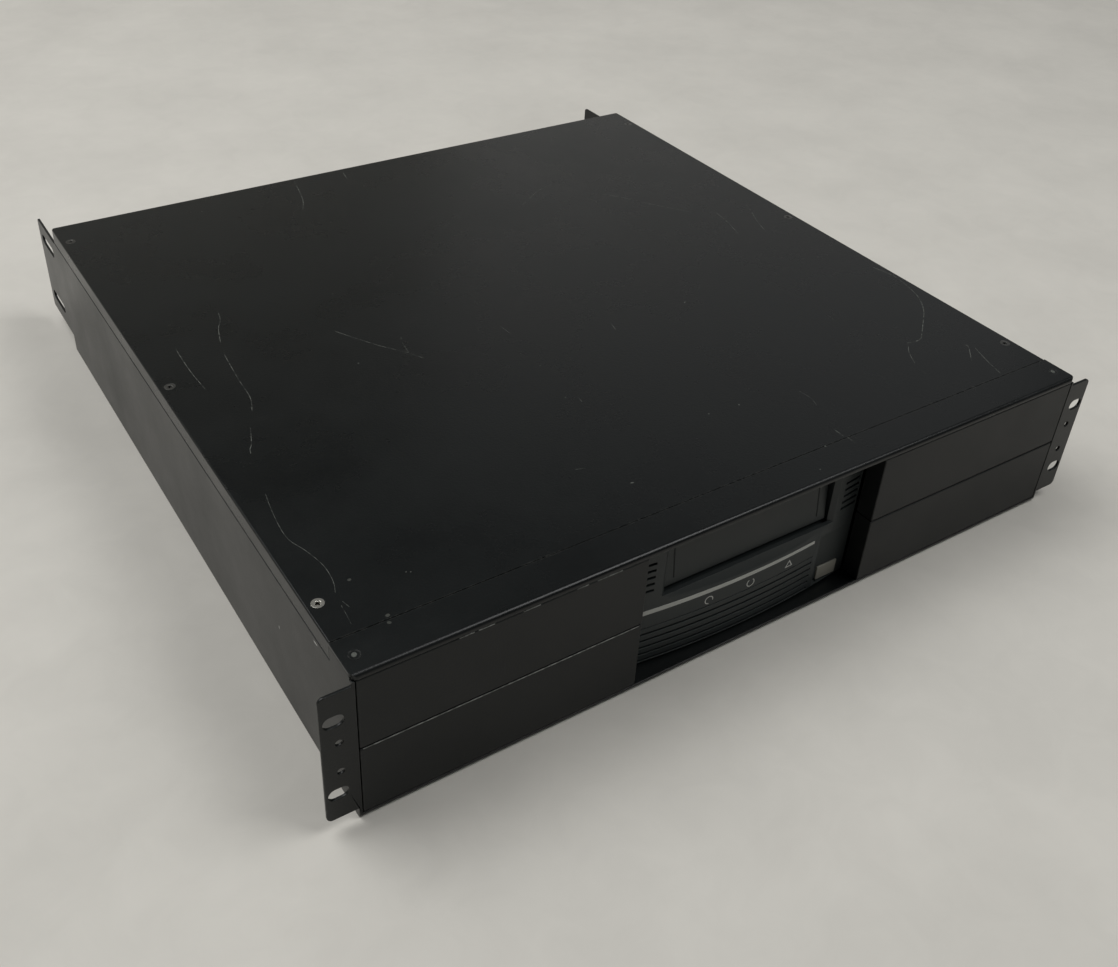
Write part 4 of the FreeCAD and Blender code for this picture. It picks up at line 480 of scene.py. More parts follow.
@dataclass
class Palette:
    """Materials by finish, each made once."""

    made: dict[str, bpy.types.Material] = field(default_factory=dict)

    def of(self, finish: Finish) -> bpy.types.Material:
        """Material of a finish.

        Args:
            finish: the finish wanted.

        Returns:
            Its material.
        """
        if finish.name not in self.made:
            self.made[finish.name] = finish.build()
        return self.made[finish.name]


class Pick(Enum):
    """What a selection in edit mode is made of."""

    FACES = "FACE"
    EDGES = "EDGE"


class Facing(Enum):
    """Which way a marked surface faces: its axis, and the turn that lays a level mark on it."""

    UP = (2, ORIGIN)
    LEFT = (0, (0.0, -QUARTER, 0.0))

    @property
    def axis(self) -> int:
        """Index of the axis that the surface is square to."""
        return self.value[0]

    @property
    def turn(self) -> Triple:
        """Turn that lays a level mark on the surface."""
        return self.value[1]


def corners_of(node: str) -> tuple[Vector, Vector]:
    """Lowest and highest corner of a CAD node at rest."""
    low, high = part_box(node)
    return Vector(low), Vector(high)


def alone(piece: Piece) -> None:
    """Make one piece the only selected one, and active.

    Args:
        piece: the piece.
    """
    bpy.ops.object.select_all(action="DESELECT")
    piece.select_set(True)
    bpy.context.view_layer.objects.active = piece


@contextmanager
def picked(piece: Piece, kind: Pick, test: Test) -> Iterator[None]:
    """Hold a piece open in edit mode, with the faces or edges selected that pass a test.

    Args:
        piece: the piece to open.
        kind: faces or edges.
        test: takes a face's centre and normal, or an edge's two ends.

    Yields:
        Nothing: the lines in the block edit the selection.
    """
    alone(piece)
    bpy.ops.object.mode_set(mode="EDIT")
    bpy.ops.mesh.select_mode(type=kind.value)
    bpy.ops.mesh.select_all(action="DESELECT")
    bpy.ops.object.mode_set(mode="OBJECT")
    mesh = piece.data
    if kind is Pick.FACES:
        for face in mesh.polygons:
            face.select = test(face.center, face.normal)
    else:
        for edge in mesh.edges:
            edge.select = test(*(mesh.vertices[i].co for i in edge.vertices))
    bpy.ops.object.mode_set(mode="EDIT")
    yield
    bpy.ops.object.mode_set(mode="OBJECT")


def extrude(step: Sequence[float]) -> None:
    """Extrude the selection by a step."""
    bpy.ops.mesh.extrude_region_move(TRANSFORM_OT_translate={"value": step})


def bake_place() -> None:
    """Put the place, turn and scale of the selected piece into its mesh."""
    bpy.ops.object.transform_apply(location=True, rotation=True, scale=True)


def start(name: str, primitive: Callable[..., set[str]], **settings: Any) -> Piece:
    """Add a primitive as the start of a piece, with its place in its mesh.

    Args:
        name: the piece's name.
        primitive: the operator that adds the primitive.
        settings: the operator's settings.

    Returns:
        The piece.
    """
    bpy.ops.object.select_all(action="DESELECT")
    primitive(**settings)
    piece = bpy.context.object
    piece.name = name
    bake_place()
    return piece


def move(piece: Piece, turn: Triple, place: Vector) -> None:
    """Turn a piece about the origin, move it to a place, and put both into its mesh.

    Args:
        piece: the piece.
        turn: turns about the three axes in radians.
        place: where its origin goes.
    """
    alone(piece)
    piece.rotation_euler = turn
    piece.location = place
    bake_place()


def block(name: str, low: Vector, high: Vector) -> Piece:
    """Start a piece as a block between its lowest and its highest corner."""
    return start(name, bpy.ops.mesh.primitive_cube_add, size=1.0, location=(low + high) / 2,
                 scale=high - low)


def outline(name: str, corners: int, radius: float, line: float) -> Piece:
    """Draw the flat outline of a regular figure around the origin.

    Args:
        name: the piece's name.
        corners: how many corners it has.
        radius: distance of its corners from the origin.
        line: width of the line.

    Returns:
        The outline.
    """
    piece = start(name, bpy.ops.mesh.primitive_circle_add, vertices=corners, radius=radius,
                  fill_type="NGON")
    with picked(piece, Pick.FACES, lambda centre, normal: True):
        bpy.ops.mesh.inset(thickness=line)
        bpy.ops.mesh.delete(type="FACE")
    return piece


def copy_of(piece: Piece, name: str) -> Piece:
    """Copy a piece with a mesh of its own.

    Args:
        piece: the piece to copy.
        name: the copy's name.

    Returns:
        The copy.
    """
    twin = bpy.data.objects.new(name, piece.data.copy())
    bpy.context.scene.collection.objects.link(twin)
    return twin


def joined(name: str, pieces: list[Piece]) -> Piece:
    """Join pieces to one.

    Args:
        name: the joined piece's name.
        pieces: what is joined.

    Returns:
        The joined piece.
    """
    alone(pieces[0])
    for piece in pieces[1:]:
        piece.select_set(True)
    bpy.ops.object.join()
    pieces[0].name = name
    return pieces[0]


def apply(piece: Piece, kind: str, **settings: Any) -> None:
    """Finish a piece with one modifier and apply it.

    Args:
        piece: the piece.
        kind: modifier type.
        settings: the modifier's properties.
    """
    alone(piece)
    modifier = piece.modifiers.new(kind.lower(), kind)
    for name, value in settings.items():
        setattr(modifier, name, value)
    bpy.ops.object.modifier_apply(modifier=modifier.name)


def cut_away(piece: Piece, cutter: Piece) -> None:
    """Cut one piece out of another, and drop the cutter."""
    apply(piece, "BOOLEAN", operation="DIFFERENCE", object=cutter, solver="EXACT", use_self=True)
    bpy.data.objects.remove(cutter)


def break_edges(piece: Piece, width: float) -> None:
    """Round a piece's sharp edges by a width in metres, so that they catch the light."""
    apply(piece, "BEVEL", width=width, segments=EDGE_STEPS, limit_method="ANGLE",
          angle_limit=SHARP, use_clamp_overlap=False)


def smooth_line(marks: list[Vector], steps: int) -> list[Vector]:
    """Draw a smooth line through places.

    Args:
        marks: places that the line runs through.
        steps: points on each run, its two ends among them.

    Returns:
        Points along the line.
    """
    # A sixth of the way between a mark's two neighbours keeps the line from kinking there.
    handle = 1 / 6
    line = [marks[0]]
    for index, (here, there) in enumerate(zip(marks, marks[1:])):
        before = marks[max(index - 1, 0)]
        after = marks[min(index + 2, len(marks) - 1)]
        leave = here + (there - before) * handle
        arrive = there - (after - here) * handle
        line += interpolate_bezier(here, leave, arrive, there, steps)[1:]
    return line


@dataclass
class Assembly:
    """A sub-assembly: what it takes from the frame, and the steps that all of them share."""

    frame: Frame
    palette: Palette

    def build(self) -> None:
        """Model and dress the sub-assembly's pieces."""
        raise NotImplementedError

    def body_of(self, node: str) -> str:
        """Name of the body that carries a CAD node."""
        bodies = self.frame["record"]["behaviour"]["bodies"]
        return next(body for body, members in bodies.items() if node in members)

    def look_of(self, node: str) -> Look:
        """Finish of a CAD node's slot."""
        entry = next(part for part in self.frame["record"]["subparts"] if part["node"] == node)
        return next(look for look in Look if look.slot == entry["material_slot"])

    def settle(
        self, piece: Piece, look: Look | Detail, replaced: str = "", body: str = ENCLOSURE
    ) -> None:
        """Finish a piece: smooth its edges but not its flats, dress it and let it ride.

        Args:
            piece: the piece.
            look: its finish.
            replaced: the CAD node that it stands for, if any.
            body: the body that it rides.
        """
        alone(piece)
        bpy.ops.object.shade_smooth_by_angle(angle=SHARP)
        apply(piece, "WEIGHTED_NORMAL", mode="FACE_AREA", weight=FLATS_FIRST, keep_sharp=True)
        piece.data.materials.clear()
        piece.data.materials.append(self.palette.of(look.value))
        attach(piece, body)
        if replaced:
            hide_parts(replaced)
        log.info("%s: %d faces, on %s", piece.name, len(piece.data.polygons), body)

    def merged_copy(self, node: str) -> Piece:
        """Copy a CAD node, with its seams closed and its flats in one piece.

        Args:
            node: the CAD node.

        Returns:
            The copy, with sharp edges.
        """
        piece = copy_of(self.frame["nodes"][node], node + "_finished")
        alone(piece)
        bpy.ops.object.mode_set(mode="EDIT")
        bpy.ops.mesh.select_all(action="SELECT")
        bpy.ops.mesh.remove_doubles(threshold=MERGE)
        bpy.ops.mesh.dissolve_limited(angle_limit=FLAT)
        bpy.ops.object.mode_set(mode="OBJECT")
        return piece

    def refine(self, width: float, *nodes: str) -> None:
        """Replace CAD nodes by copies with broken edges.

        Args:
            width: width of the broken edges in metres.
            nodes: the CAD nodes.
        """
        for node in nodes:
            piece = self.merged_copy(node)
            break_edges(piece, width)
            self.settle(piece, self.look_of(node), node, self.body_of(node))

    def imprint(self, sign: Piece, turn: Triple, place: Vector, body: str = ENCLOSURE) -> None:
        """Give a flat sign the thickness of ink and set it on a face.

        Args:
            sign: the sign, drawn level around the origin.
            turn: turns that lay it on the face.
            place: where its middle goes.
            body: the body that it rides.
        """
        apply(sign, "SOLIDIFY", thickness=INK_DEPTH, offset=0.0)
        move(sign, turn, place)
        self.settle(sign, Detail.INK, body=body)


@dataclass(frozen=True)
class Lamp:
    """A square area lamp: its place and the length of its side in metres, and its watts."""

    name: str
    place: Triple
    size: float
    power: float


@dataclass
class Studio:
    """Floor, backdrop, lamps and the camera at the photograph's viewing angle."""

    palette: Palette
    eye: Triple = (-0.3549, -0.5588, 0.4543)
    right: Triple = (0.8437, -0.5353, 0.0405)
    up: Triple = (0.2781, 0.5004, 0.8199)
    focal_px: float = 1227.8
    axis_px: Pixel = (534.9, 410.9)
    sensor_mm: float = 36.0
    nearest: float = 10 * MM
    floor_size: float = 12.0
    backdrop_y: float = 2.2
    backdrop_lean: float = 0.7
    backdrop_height: float = 2.5
    room_colour: str = "#e4e6e8"
    room_strength: float = 0.14
    lamps: tuple[Lamp, ...] = (
        Lamp("softbox", (-1.0, 0.7, 2.0), 1.7, 33.0),
        Lamp("back_panel", (1.5, 1.35, 0.95), 1.5, 1.8),
        Lamp("ceiling", (1.15, -1.0, 2.4), 1.4, 28.0),
    )

    def axes(self) -> tuple[Vector, Vector, Vector]:
        """Directions of the camera, square to one another.

        Returns:
            The directions to its right, upward and backward.
        """
        across = Vector(self.right).normalized()
        back = across.cross(Vector(self.up)).normalized()
        return across, back.cross(across), back

    def seen_on(self, pixel: Pixel, facing: Facing, offset: float) -> Vector:
        """Place on a plane that the photograph shows at a pixel.

        Args:
            pixel: column and row in the photograph.
            facing: which way the plane faces.
            offset: where the plane cuts its axis, in metres.

        Returns:
            The place.
        """
        across, upward, back = self.axes()
        ray = across * (pixel[0] - self.axis_px[0]) - upward * (pixel[1] - self.axis_px[1])
        ray -= back * self.focal_px
        eye = Vector(self.eye)
        return eye + ray * ((offset - eye[facing.axis]) / ray[facing.axis])

    def camera(self) -> None:
        """Camera with the lens and the framing of the photograph."""
        data = bpy.data.cameras.new("camera")
        data.sensor_width = self.sensor_mm
        data.lens = self.focal_px / PHOTO_WIDTH * data.sensor_width
        data.shift_x = (PHOTO_WIDTH / 2 - self.axis_px[0]) / PHOTO_WIDTH
        data.shift_y = (self.axis_px[1] - PHOTO_HEIGHT / 2) / PHOTO_WIDTH
        data.clip_start = self.nearest
        holder = bpy.data.objects.new("camera", data)
        turn = Matrix(self.axes()).transposed().to_4x4()
        holder.matrix_world = Matrix.Translation(self.eye) @ turn
        bpy.context.scene.collection.objects.link(holder)
        bpy.context.scene.camera = holder

    def stage(self) -> None:
        """Pale floor that turns up into a backdrop far behind the object."""
        middle = self.backdrop_y - self.floor_size / 2
        floor = start("floor", bpy.ops.mesh.primitive_plane_add, size=self.floor_size,
                      location=(0.0, middle, 0.0))
        far = self.backdrop_y - MM
        with picked(floor, Pick.EDGES, lambda first, last: min(first.y, last.y) > far):
            extrude((0.0, self.backdrop_lean, self.backdrop_height))
        floor.data.materials.append(self.palette.of(PalePaper("pale_paper")))

    def light(self) -> None:
        """Soft light from above, a little from behind, with a dim room around it."""
        world = bpy.data.worlds.new("room")
        world.use_nodes = True
        background = world.node_tree.nodes["Background"]
        background.inputs["Color"].default_value = linear(self.room_colour)
        background.inputs["Strength"].default_value = self.room_strength
        bpy.context.scene.world = world
        for lamp in self.lamps:
            data = bpy.data.lights.new(lamp.name, "AREA")
            data.size = lamp.size
            data.energy = lamp.power
            holder = bpy.data.objects.new(lamp.name, data)
            holder.location = lamp.place
            holder.rotation_euler = (-Vector(lamp.place)).to_track_quat("-Z", "Y").to_euler()
            bpy.context.scene.collection.objects.link(holder)
        bpy.context.scene.view_settings.view_transform = "Standard"

    def build(self) -> None:
        """Set the whole stage."""
        self.camera()
        self.stage()
        self.light()


@dataclass
class Enclosure(Assembly):
    """Folded sheet enclosure: tray, header, lid, rear panel and the four blanking panels."""

    edge: float = 0.35 * MM
    fine_edge: float = 0.1 * MM
    sink: float = 0.03 * MM
    fold_radius: float = 2.4 * MM
    fold_steps: int = 6
    pale_strip_inset: float = 0.04 * MM
    pale_strip_width: float = 0.45 * MM
    pale_strip_edge: float = 0.15 * MM
    # Middle and length of each pale stretch on the top edges of the two left panels: worn bare metal
    # on the upper panel, and on the lower panel one strip along its whole top edge that is a painted
    # highlight, where the rounded edge catches the light.
    upper_wear_mm: tuple[Span, ...] = (
        (-170.0, 7.4), (-160.5, 8.0), (-138.0, 8.8), (-111.6, 6.3), (-97.0, 13.7))
    lower_painted_highlight_mm: tuple[Span, ...] = ((-148.0, 143.0),)

    def build(self) -> None:
        """Break the edges of all its sheet pieces, wear the top edge of the upper left panel and
        paint a highlight along that of the lower left panel.
        """
        tray = self.merged_copy("chassis_tray")
        self.round_fold(tray)
        break_edges(tray, self.edge)
        self.settle(tray, Detail.TRAY_COAT, "chassis_tray")
        self.refine(self.edge, "rear_panel", "blank_panel_right_lower", "blank_panel_right_upper",
                    "blank_panel_left_lower", "blank_panel_left_upper")
        for node in ("front_header", "lid", "header_rivets"):
            piece = self.merged_copy(node)
            break_edges(piece, self.fine_edge)
            self.sink_top(piece)
            self.settle(piece, Detail.LID_COAT, node)
        self.wear("blank_panel_left_upper", self.upper_wear_mm)
        # A painted highlight along the lower panel's whole top edge, where it catches the light.
        self.wear("blank_panel_left_lower", self.lower_painted_highlight_mm)

    def round_fold(self, tray: Piece) -> None:
        """Round the outside of the fold between the tray's floor and its front lip, as pressed.

        Args:
            tray: the tray, with sharp edges.
        """
        low, _ = corners_of("chassis_tray")
        front = low.y + self.edge
        bottom = low.z + self.edge
        with picked(tray, Pick.EDGES, lambda one, other: (
                max(one.y, other.y) < front and max(one.z, other.z) < bottom)):
            bpy.ops.mesh.bevel(offset=self.fold_radius, segments=self.fold_steps)

    def wear(self, panel: str, stretches: tuple[Span, ...]) -> None:
        """Lay pale strips along a panel's top front edge: bare metal where its coat has chipped off,
        and on the lower left panel a painted highlight where the edge catches the light.

        Args:
            panel: the panel's CAD node.
            stretches: middle and length of each stretch in millimetres.
        """
        low, high = corners_of(panel)
        front = low.y + self.pale_strip_inset
        top = high.z - self.pale_strip_inset
        strips = []
        for middle, length in stretches:
            first = Vector(((middle - length / 2) * MM, front, top - self.pale_strip_width))
            last = Vector(((middle + length / 2) * MM, front + self.pale_strip_width, top))
            strips.append(block("worn_stretch", first, last))
        # The joined strips: worn metal, and on the lower left panel a painted highlight.
        worn = joined(panel + "_wear", strips)
        break_edges(worn, self.pale_strip_edge)
        self.settle(worn, Detail.WORN_EDGE)

    def sink_top(self, piece: Piece) -> None:
        """Lower the top face by a hair, so that the marks on it keep inside the object's height.

        Args:
            piece: lid, header or rivets.
        """
        top = corners_of("lid")[1].z - self.sink
        with picked(piece, Pick.FACES,
                    lambda centre, normal: normal.z > SQUARE and centre.z > top):
            bpy.ops.transform.translate(value=(0.0, 0.0, -self.sink))


@dataclass
class CrossScrew:
    """Screw with a cross recess, modelled upright with the middle of its head's top at the origin."""

    head_radius: float
    head_height: float
    shank_radius: float
    shank_length: float
    countersunk: bool
    sides: int = 32
    # Sizes of the recess and the broken edge, as shares of the head's radius.
    arm: float = 0.62
    arm_half: float = 0.17
    depth: float = 0.7
    foot: Triple = (0.45, 0.8, 1.0)
    edge: float = 0.08

    def model(self, name: str) -> Piece:
        """Model the screw.

        Args:
            name: the piece's name.

        Returns:
            The piece.
        """
        screw = start(name, bpy.ops.mesh.primitive_cylinder_add, vertices=self.sides,
                      radius=self.head_radius, depth=self.head_height,
                      location=(0.0, 0.0, -self.head_height / 2))
        with picked(screw, Pick.FACES, lambda centre, normal: normal.z < -SQUARE):
            if self.countersunk:
                ratio = self.shank_radius / self.head_radius
                bpy.ops.transform.resize(value=(ratio, ratio, 1.0))
            else:
                bpy.ops.mesh.inset(thickness=self.head_radius - self.shank_radius)
            extrude((0.0, 0.0, -self.shank_length))
        cut_away(screw, self.cross())
        break_edges(screw, self.edge * self.head_radius)
        return screw

    def cross(self) -> Piece:
        """Tapered cross that is cut from the head.

        Returns:
            The cutter.
        """
        reach = Vector((self.arm, self.arm_half, self.depth)) * self.head_radius
        cutter = block("cross_cutter", -reach, reach)
        with picked(cutter, Pick.FACES, lambda centre, normal: normal.z < -SQUARE):
            bpy.ops.transform.resize(value=self.foot)
            bpy.ops.mesh.select_all(action="SELECT")
            bpy.ops.mesh.duplicate()
            bpy.ops.transform.rotate(value=QUARTER, orient_axis="Z", center_override=ORIGIN)
        return cutter


@dataclass
class LidFixings(Assembly):
    """Six countersunk screws of the lid, one of them replaced by a bright one."""

    head_radius: float = 3.1 * MM
    head_height: float = 1.2 * MM
    shank_radius: float = 1.5 * MM
    turns: tuple[float, ...] = (0.3, 1.1, 0.7, 0.1, 0.9, 0.5)
    bright: tuple[str, str] = ("left", "front")

    def build(self) -> None:
        """Model one screw and set a turned copy in each hole."""
        low, high = corners_of("lid_screws")
        length = high.z - low.z - self.head_height
        shape = CrossScrew(self.head_radius, self.head_height, self.shank_radius, length, True)
        model = shape.model("lid_screw_model")
        rows = (low.y + self.head_radius, (low.y + high.y) / 2, high.y - self.head_radius)
        columns = {"left": low.x + self.head_radius, "right": high.x - self.head_radius}
        turns = iter(self.turns)
        for side, x in columns.items():
            for row, y in zip(("front", "middle", "rear"), rows):
                screw = copy_of(model, f"lid_screw_{side}_{row}")
                move(screw, (0.0, 0.0, next(turns)), Vector((x, y, high.z)))
                look = Detail.BRIGHT_ZINC if (side, row) == self.bright else Look.SCREW_STEEL
                self.settle(screw, look, "lid_screws")
        bpy.data.objects.remove(model)


@dataclass(frozen=True)
class Stroke:
    """One scratch: the pixels that it runs through in the photograph, and its width."""

    name: str
    pixels: tuple[Pixel, ...]
    width_mm: float = 0.26


@dataclass(frozen=True)
class Nick:
    """One chip: its pixel in the photograph, and its two sizes and its turn on the surface."""

    pixel: Pixel
    length_mm: float
    width_mm: float
    turn: float = 0.0


@dataclass
class CoatMarks(Assembly):
    """Scratches and chips in the coat of the lid, the header and the left wall."""

    studio: Studio
    scratches: tuple[Stroke, ...] = (
        Stroke("long_left_top", ((218.4, 313), (220.2, 320), (218.4, 329), (220.7, 343.4)), 0.34),
        Stroke("long_left_middle", ((224.6, 355), (238.9, 380), (250, 397), (252, 411.3)), 0.3),
        Stroke("long_left_low", ((250.5, 428), (251.4, 443.4), (250, 448.8), (251, 453.6)), 0.34),
        Stroke("left_edge", ((176, 349), (180, 355.9), (191.6, 372.9), (205.9, 389.8)), 0.3),
        Stroke("left_front", ((265.5, 494), (270.2, 506.8), (278.9, 525.6), (288.9, 539.7),
                              (306.4, 551), (323.8, 565.8), (333.1, 581.2), (335.2, 592.6)), 0.22),
        Stroke("left_front_fork", ((342.5, 601.3), (349.9, 607.3)), 0.16),
        Stroke("left_front_tail", ((341.2, 605.3), (346.5, 614.7), (351.2, 624)), 0.14),
        Stroke("rear_left", ((294.7, 182), (300.1, 192.9), (303.1, 201.3), (302.7, 209.7)), 0.4),
        Stroke("rear_left_short", ((342.9, 172.2), (347, 178.6)), 0.4),
        Stroke("middle", ((335.4, 331.3), (351.4, 336.8), (380.9, 346), (406.8, 352.3),
                          (423.8, 358.2))),
        Stroke("middle_fork", ((401, 337), (402.3, 342.5), (409.5, 353.6)), 0.2),
        Stroke("rear_middle", ((518.2, 208.8), (528.7, 199.2), (538.3, 190.6), (552.6, 183.9)), 0.24),
        Stroke("rear_right", ((600.4, 194.4), (614.8, 196), (656.9, 205.3), (691.3, 212)), 0.24),
        Stroke("rear_far", ((716.2, 212.6), (727.7, 222.2), (738.8, 234.6)), 0.28),
        Stroke("rear_edge", ((741, 199.2), (748.7, 207.8), (757.3, 221.2), (765.9, 231.7)), 0.24),
        Stroke("right_hook", ((873.2, 267.3), (893.7, 276), (908.4, 287), (918.7, 298), (923.4, 310),
                              (922.8, 323), (920.9, 338.5)), 0.36),
        Stroke("right_hook_turn", ((920.9, 338.5), (916.5, 341), (907.2, 342.9)), 0.5),
        Stroke("right_hook_tail", ((908.4, 346), (909.1, 352.4), (915, 363.4)), 0.3),
        Stroke("right_hook_end", ((923, 371.5), (928.9, 375.2)), 0.26),
        Stroke("right_short", ((965.3, 344.8), (968.3, 346.8), (970, 353.9), (971.2, 360.5)), 0.34),
        Stroke("right_edge", ((975.2, 348), (987.6, 361.2), (1000.8, 373.7))),
        Stroke("front_right", ((834, 429.2), (843.2, 436)), 0.34),
        Stroke("front_right_end", ((847.8, 437.3), (855.8, 443.5)), 0.34),
        Stroke("centre_streak", ((611.3, 323.6), (615.9, 330)), 0.4),
        Stroke("centre_low", ((579.2, 398.2), (582, 401.7)), 0.4),
        Stroke("right_streak", ((799.6, 391.3), (811, 398.2), (816.8, 405.8)), 0.2),
        Stroke("front_streak", ((575.8, 469.4), (586, 468.2)), 0.24),
        Stroke("left_streak", ((500, 326), (511, 334)), 0.2),
    )
    lid_nicks: tuple[Nick, ...] = (
        Nick((202, 211.5), 1.3, 0.9),
        Nick((332.7, 293.8), 1.0, 0.8),
        Nick((358.6, 363.2), 1.2, 0.9),
        Nick((406.2, 571.8), 0.8, 0.6),
        Nick((410.8, 571.8), 0.8, 0.6),
        Nick((540.2, 365.6), 1.0, 0.7),
        Nick((565.4, 397.5), 1.0, 0.7),
        Nick((632.5, 482.7), 2.4, 0.9, 0.3),
        Nick((684.8, 302.3), 2.4, 0.7, -0.5),
        Nick((708.9, 413.8), 1.2, 0.8, 0.9),
        Nick((739.2, 404.7), 1.4, 1.0),
        Nick((820.3, 469.4), 0.9, 0.7),
        Nick((825.5, 446.2), 1.4, 0.9, 0.6),
    )
    lid_chips: tuple[Nick, ...] = (
        Nick((349.5, 579.8), 2.0, 1.7, 0.4),
        Nick((388, 615.3), 2.4, 2.0, 0.2),
        Nick((389.4, 622.7), 2.2, 1.8, 1.1),
    )
    wall_nicks: tuple[Nick, ...] = (
        Nick((279.2, 627), 2.4, 0.6),
        Nick((315.4, 643.2), 0.7, 4.2),
    )
    rivet_radius: float = 2.7 * MM
    rivet_spot_mm: float = 2.8
    wall_x: float = -223.0 * MM
    clear: float = 0.01 * MM
    thickness: float = 0.02 * MM
    run_steps: int = 5
    tip: float = 0.3
    corners: int = 9
    dent: Triple = (-0.1 * MM, 0.08 * MM, 0.0)

    def build(self) -> None:
        """Lay the marks of each kind, joined to one piece, on the surface that they are in."""
        top = corners_of("lid")[1].z - self.clear
        wall = self.wall_x - self.clear
        scratches = [self.scratch(stroke, top) for stroke in self.scratches]
        self.lay("lid_scratches", scratches, Detail.SCRATCH)
        for name, marks, facing, offset, detail in (
            ("lid_nicks", self.lid_nicks, Facing.UP, top, Detail.NICK),
            ("lid_chips", self.lid_chips, Facing.UP, top, Detail.CHIP),
            ("wall_nicks", self.wall_nicks, Facing.LEFT, wall, Detail.FRESH_STEEL),
        ):
            self.lay(name, [self.nick(mark, facing, offset) for mark in marks], detail)
        self.lay("rivet_spots", self.rivet_spots(top), Detail.NICK)

    def lay(self, name: str, marks: list[Piece], detail: Detail) -> None:
        """Join marks to one piece, thicken it by a hair and settle it.

        Args:
            name: the piece's name.
            marks: the flat marks.
            detail: their finish.
        """
        piece = joined(name, marks)
        apply(piece, "SOLIDIFY", thickness=self.thickness, offset=-1.0)
        self.settle(piece, detail)

    def scratch(self, stroke: Stroke, level: float) -> Piece:
        """Draw a thin ribbon along a stroke: its end is extruded and turned from place to place.

        Args:
            stroke: the scratch.
            level: height that it lies at.

        Returns:
            The flat ribbon.
        """
        marks = [self.studio.seen_on(pixel, Facing.UP, level) for pixel in stroke.pixels]
        path = smooth_line(marks, self.run_steps)
        ways = [(there - here).normalized() for here, there in zip(path, path[1:])]
        width = stroke.width_mm * MM
        outset, first = path[0], ways[0]
        ribbon = start("scratch_" + stroke.name, bpy.ops.mesh.primitive_plane_add, size=width,
                       location=outset, rotation=(0.0, 0.0, math.atan2(first.y, first.x)))
        with picked(ribbon, Pick.EDGES, lambda one, other: (
                min((one - outset).dot(first), (other - outset).dot(first)) > 0)):
            for here, there, way, onward in zip(path, path[1:], ways, ways[1:] + ways[-1:]):
                extrude(there - here)
                bpy.ops.transform.rotate(value=way.xy.angle_signed(onward.xy), orient_axis="Z",
                                         center_override=there + first * width / 2)
            bpy.ops.transform.resize(value=(self.tip, self.tip, 1.0))
        return ribbon

    def nick(self, mark: Nick, facing: Facing, offset: float) -> Piece:
        """Cut a small uneven fleck.

        Args:
            mark: the chip.
            facing: which way the chipped surface faces.
            offset: where the surface cuts its axis.

        Returns:
            The flat fleck.
        """
        fleck = self.fleck(mark.length_mm, mark.width_mm, mark.turn)
        move(fleck, facing.turn, self.studio.seen_on(mark.pixel, facing, offset))
        return fleck

    def fleck(self, length_mm: float, width_mm: float, turn: float) -> Piece:
        """Model a flat fleck around the origin: a round one, dented, then stretched and turned.

        Args:
            length_mm: its length.
            width_mm: its width.
            turn: its turn in radians.

        Returns:
            The fleck.
        """
        fleck = start("fleck", bpy.ops.mesh.primitive_circle_add, vertices=self.corners,
                      radius=MM / 2, fill_type="NGON")
        with picked(fleck, Pick.EDGES, lambda one, other: min(one.x, other.x) > 0):
            bpy.ops.transform.translate(value=self.dent)
            bpy.ops.mesh.select_all(action="SELECT")
            bpy.ops.transform.resize(value=(length_mm, width_mm, 1.0), center_override=ORIGIN)
            bpy.ops.transform.rotate(value=turn, orient_axis="Z", center_override=ORIGIN)
        return fleck

    def rivet_spots(self, level: float) -> list[Piece]:
        """Worn spots on the two rivets of the header.

        Args:
            level: height of the spots.

        Returns:
            The flat spots.
        """
        low, high = corners_of("header_rivets")
        spots = []
        for x in (low.x + self.rivet_radius, high.x - self.rivet_radius):
            spot = self.fleck(self.rivet_spot_mm, self.rivet_spot_mm, 0.0)
            move(spot, Facing.UP.turn, Vector((x, (low.y + high.y) / 2, level)))
            spots.append(spot)
        return spots


@dataclass(frozen=True)
class Sign:
    """An outlined sign: its place along the row, its corners, and the stretch left open, in
    degrees."""

    name: str
    step: int
    corners: int
    radius: float
    opens: float = 0.0
    closes: float = 0.0

    def is_open(self, place: Vector) -> bool:
        """Whether a place on the outline is in the open stretch."""
        return self.opens < math.degrees(math.atan2(place.y, place.x)) % 360 < self.closes


@dataclass
class DriveFront(Assembly):
    """Front of the tape drive: bezel, door, trim stripe, button and the printed signs."""

    edge: float = 0.15 * MM
    door_edge: float = 0.3 * MM
    stripe_edge: float = 0.12 * MM
    bow_radius: float = 535.0 * MM
    signs: tuple[Sign, ...] = (
        Sign("sign_ready", -1, RING_SIDES, 2.6 * MM, 265.0, 345.0),
        Sign("sign_use", 0, RING_SIDES, 2.6 * MM, 60.0, 115.0),
        Sign("sign_alert", 1, 3, 3.06 * MM),
    )
    sign_pitch: float = 26.6 * MM
    sign_height: float = 30.65 * MM
    line: float = 0.55 * MM

    def build(self) -> None:
        """Break the edges of the mouldings and print the signs."""
        self.refine(self.edge, "drive_bezel")
        self.refine(self.door_edge, "cartridge_door")
        self.refine(self.stripe_edge, "bezel_stripe")
        self.refine(self.edge, "eject_button")
        for sign in self.signs:
            self.print_sign(sign)

    def print_sign(self, sign: Sign) -> None:
        """Print one outlined sign on the bowed face.

        Args:
            sign: the sign.
        """
        piece = outline(sign.name, sign.corners, sign.radius, self.line)
        with picked(piece, Pick.FACES, lambda centre, normal: sign.is_open(centre)):
            bpy.ops.mesh.delete(type="FACE")
        x = sign.step * self.sign_pitch
        turn = math.asin(x / self.bow_radius)
        face = corners_of("drive_bezel")[0].y + self.bow_radius * (1 - math.cos(turn))
        place = Vector((x, face - INK_DEPTH / 2, self.sign_height))
        self.imprint(piece, (QUARTER, 0.0, turn), place)


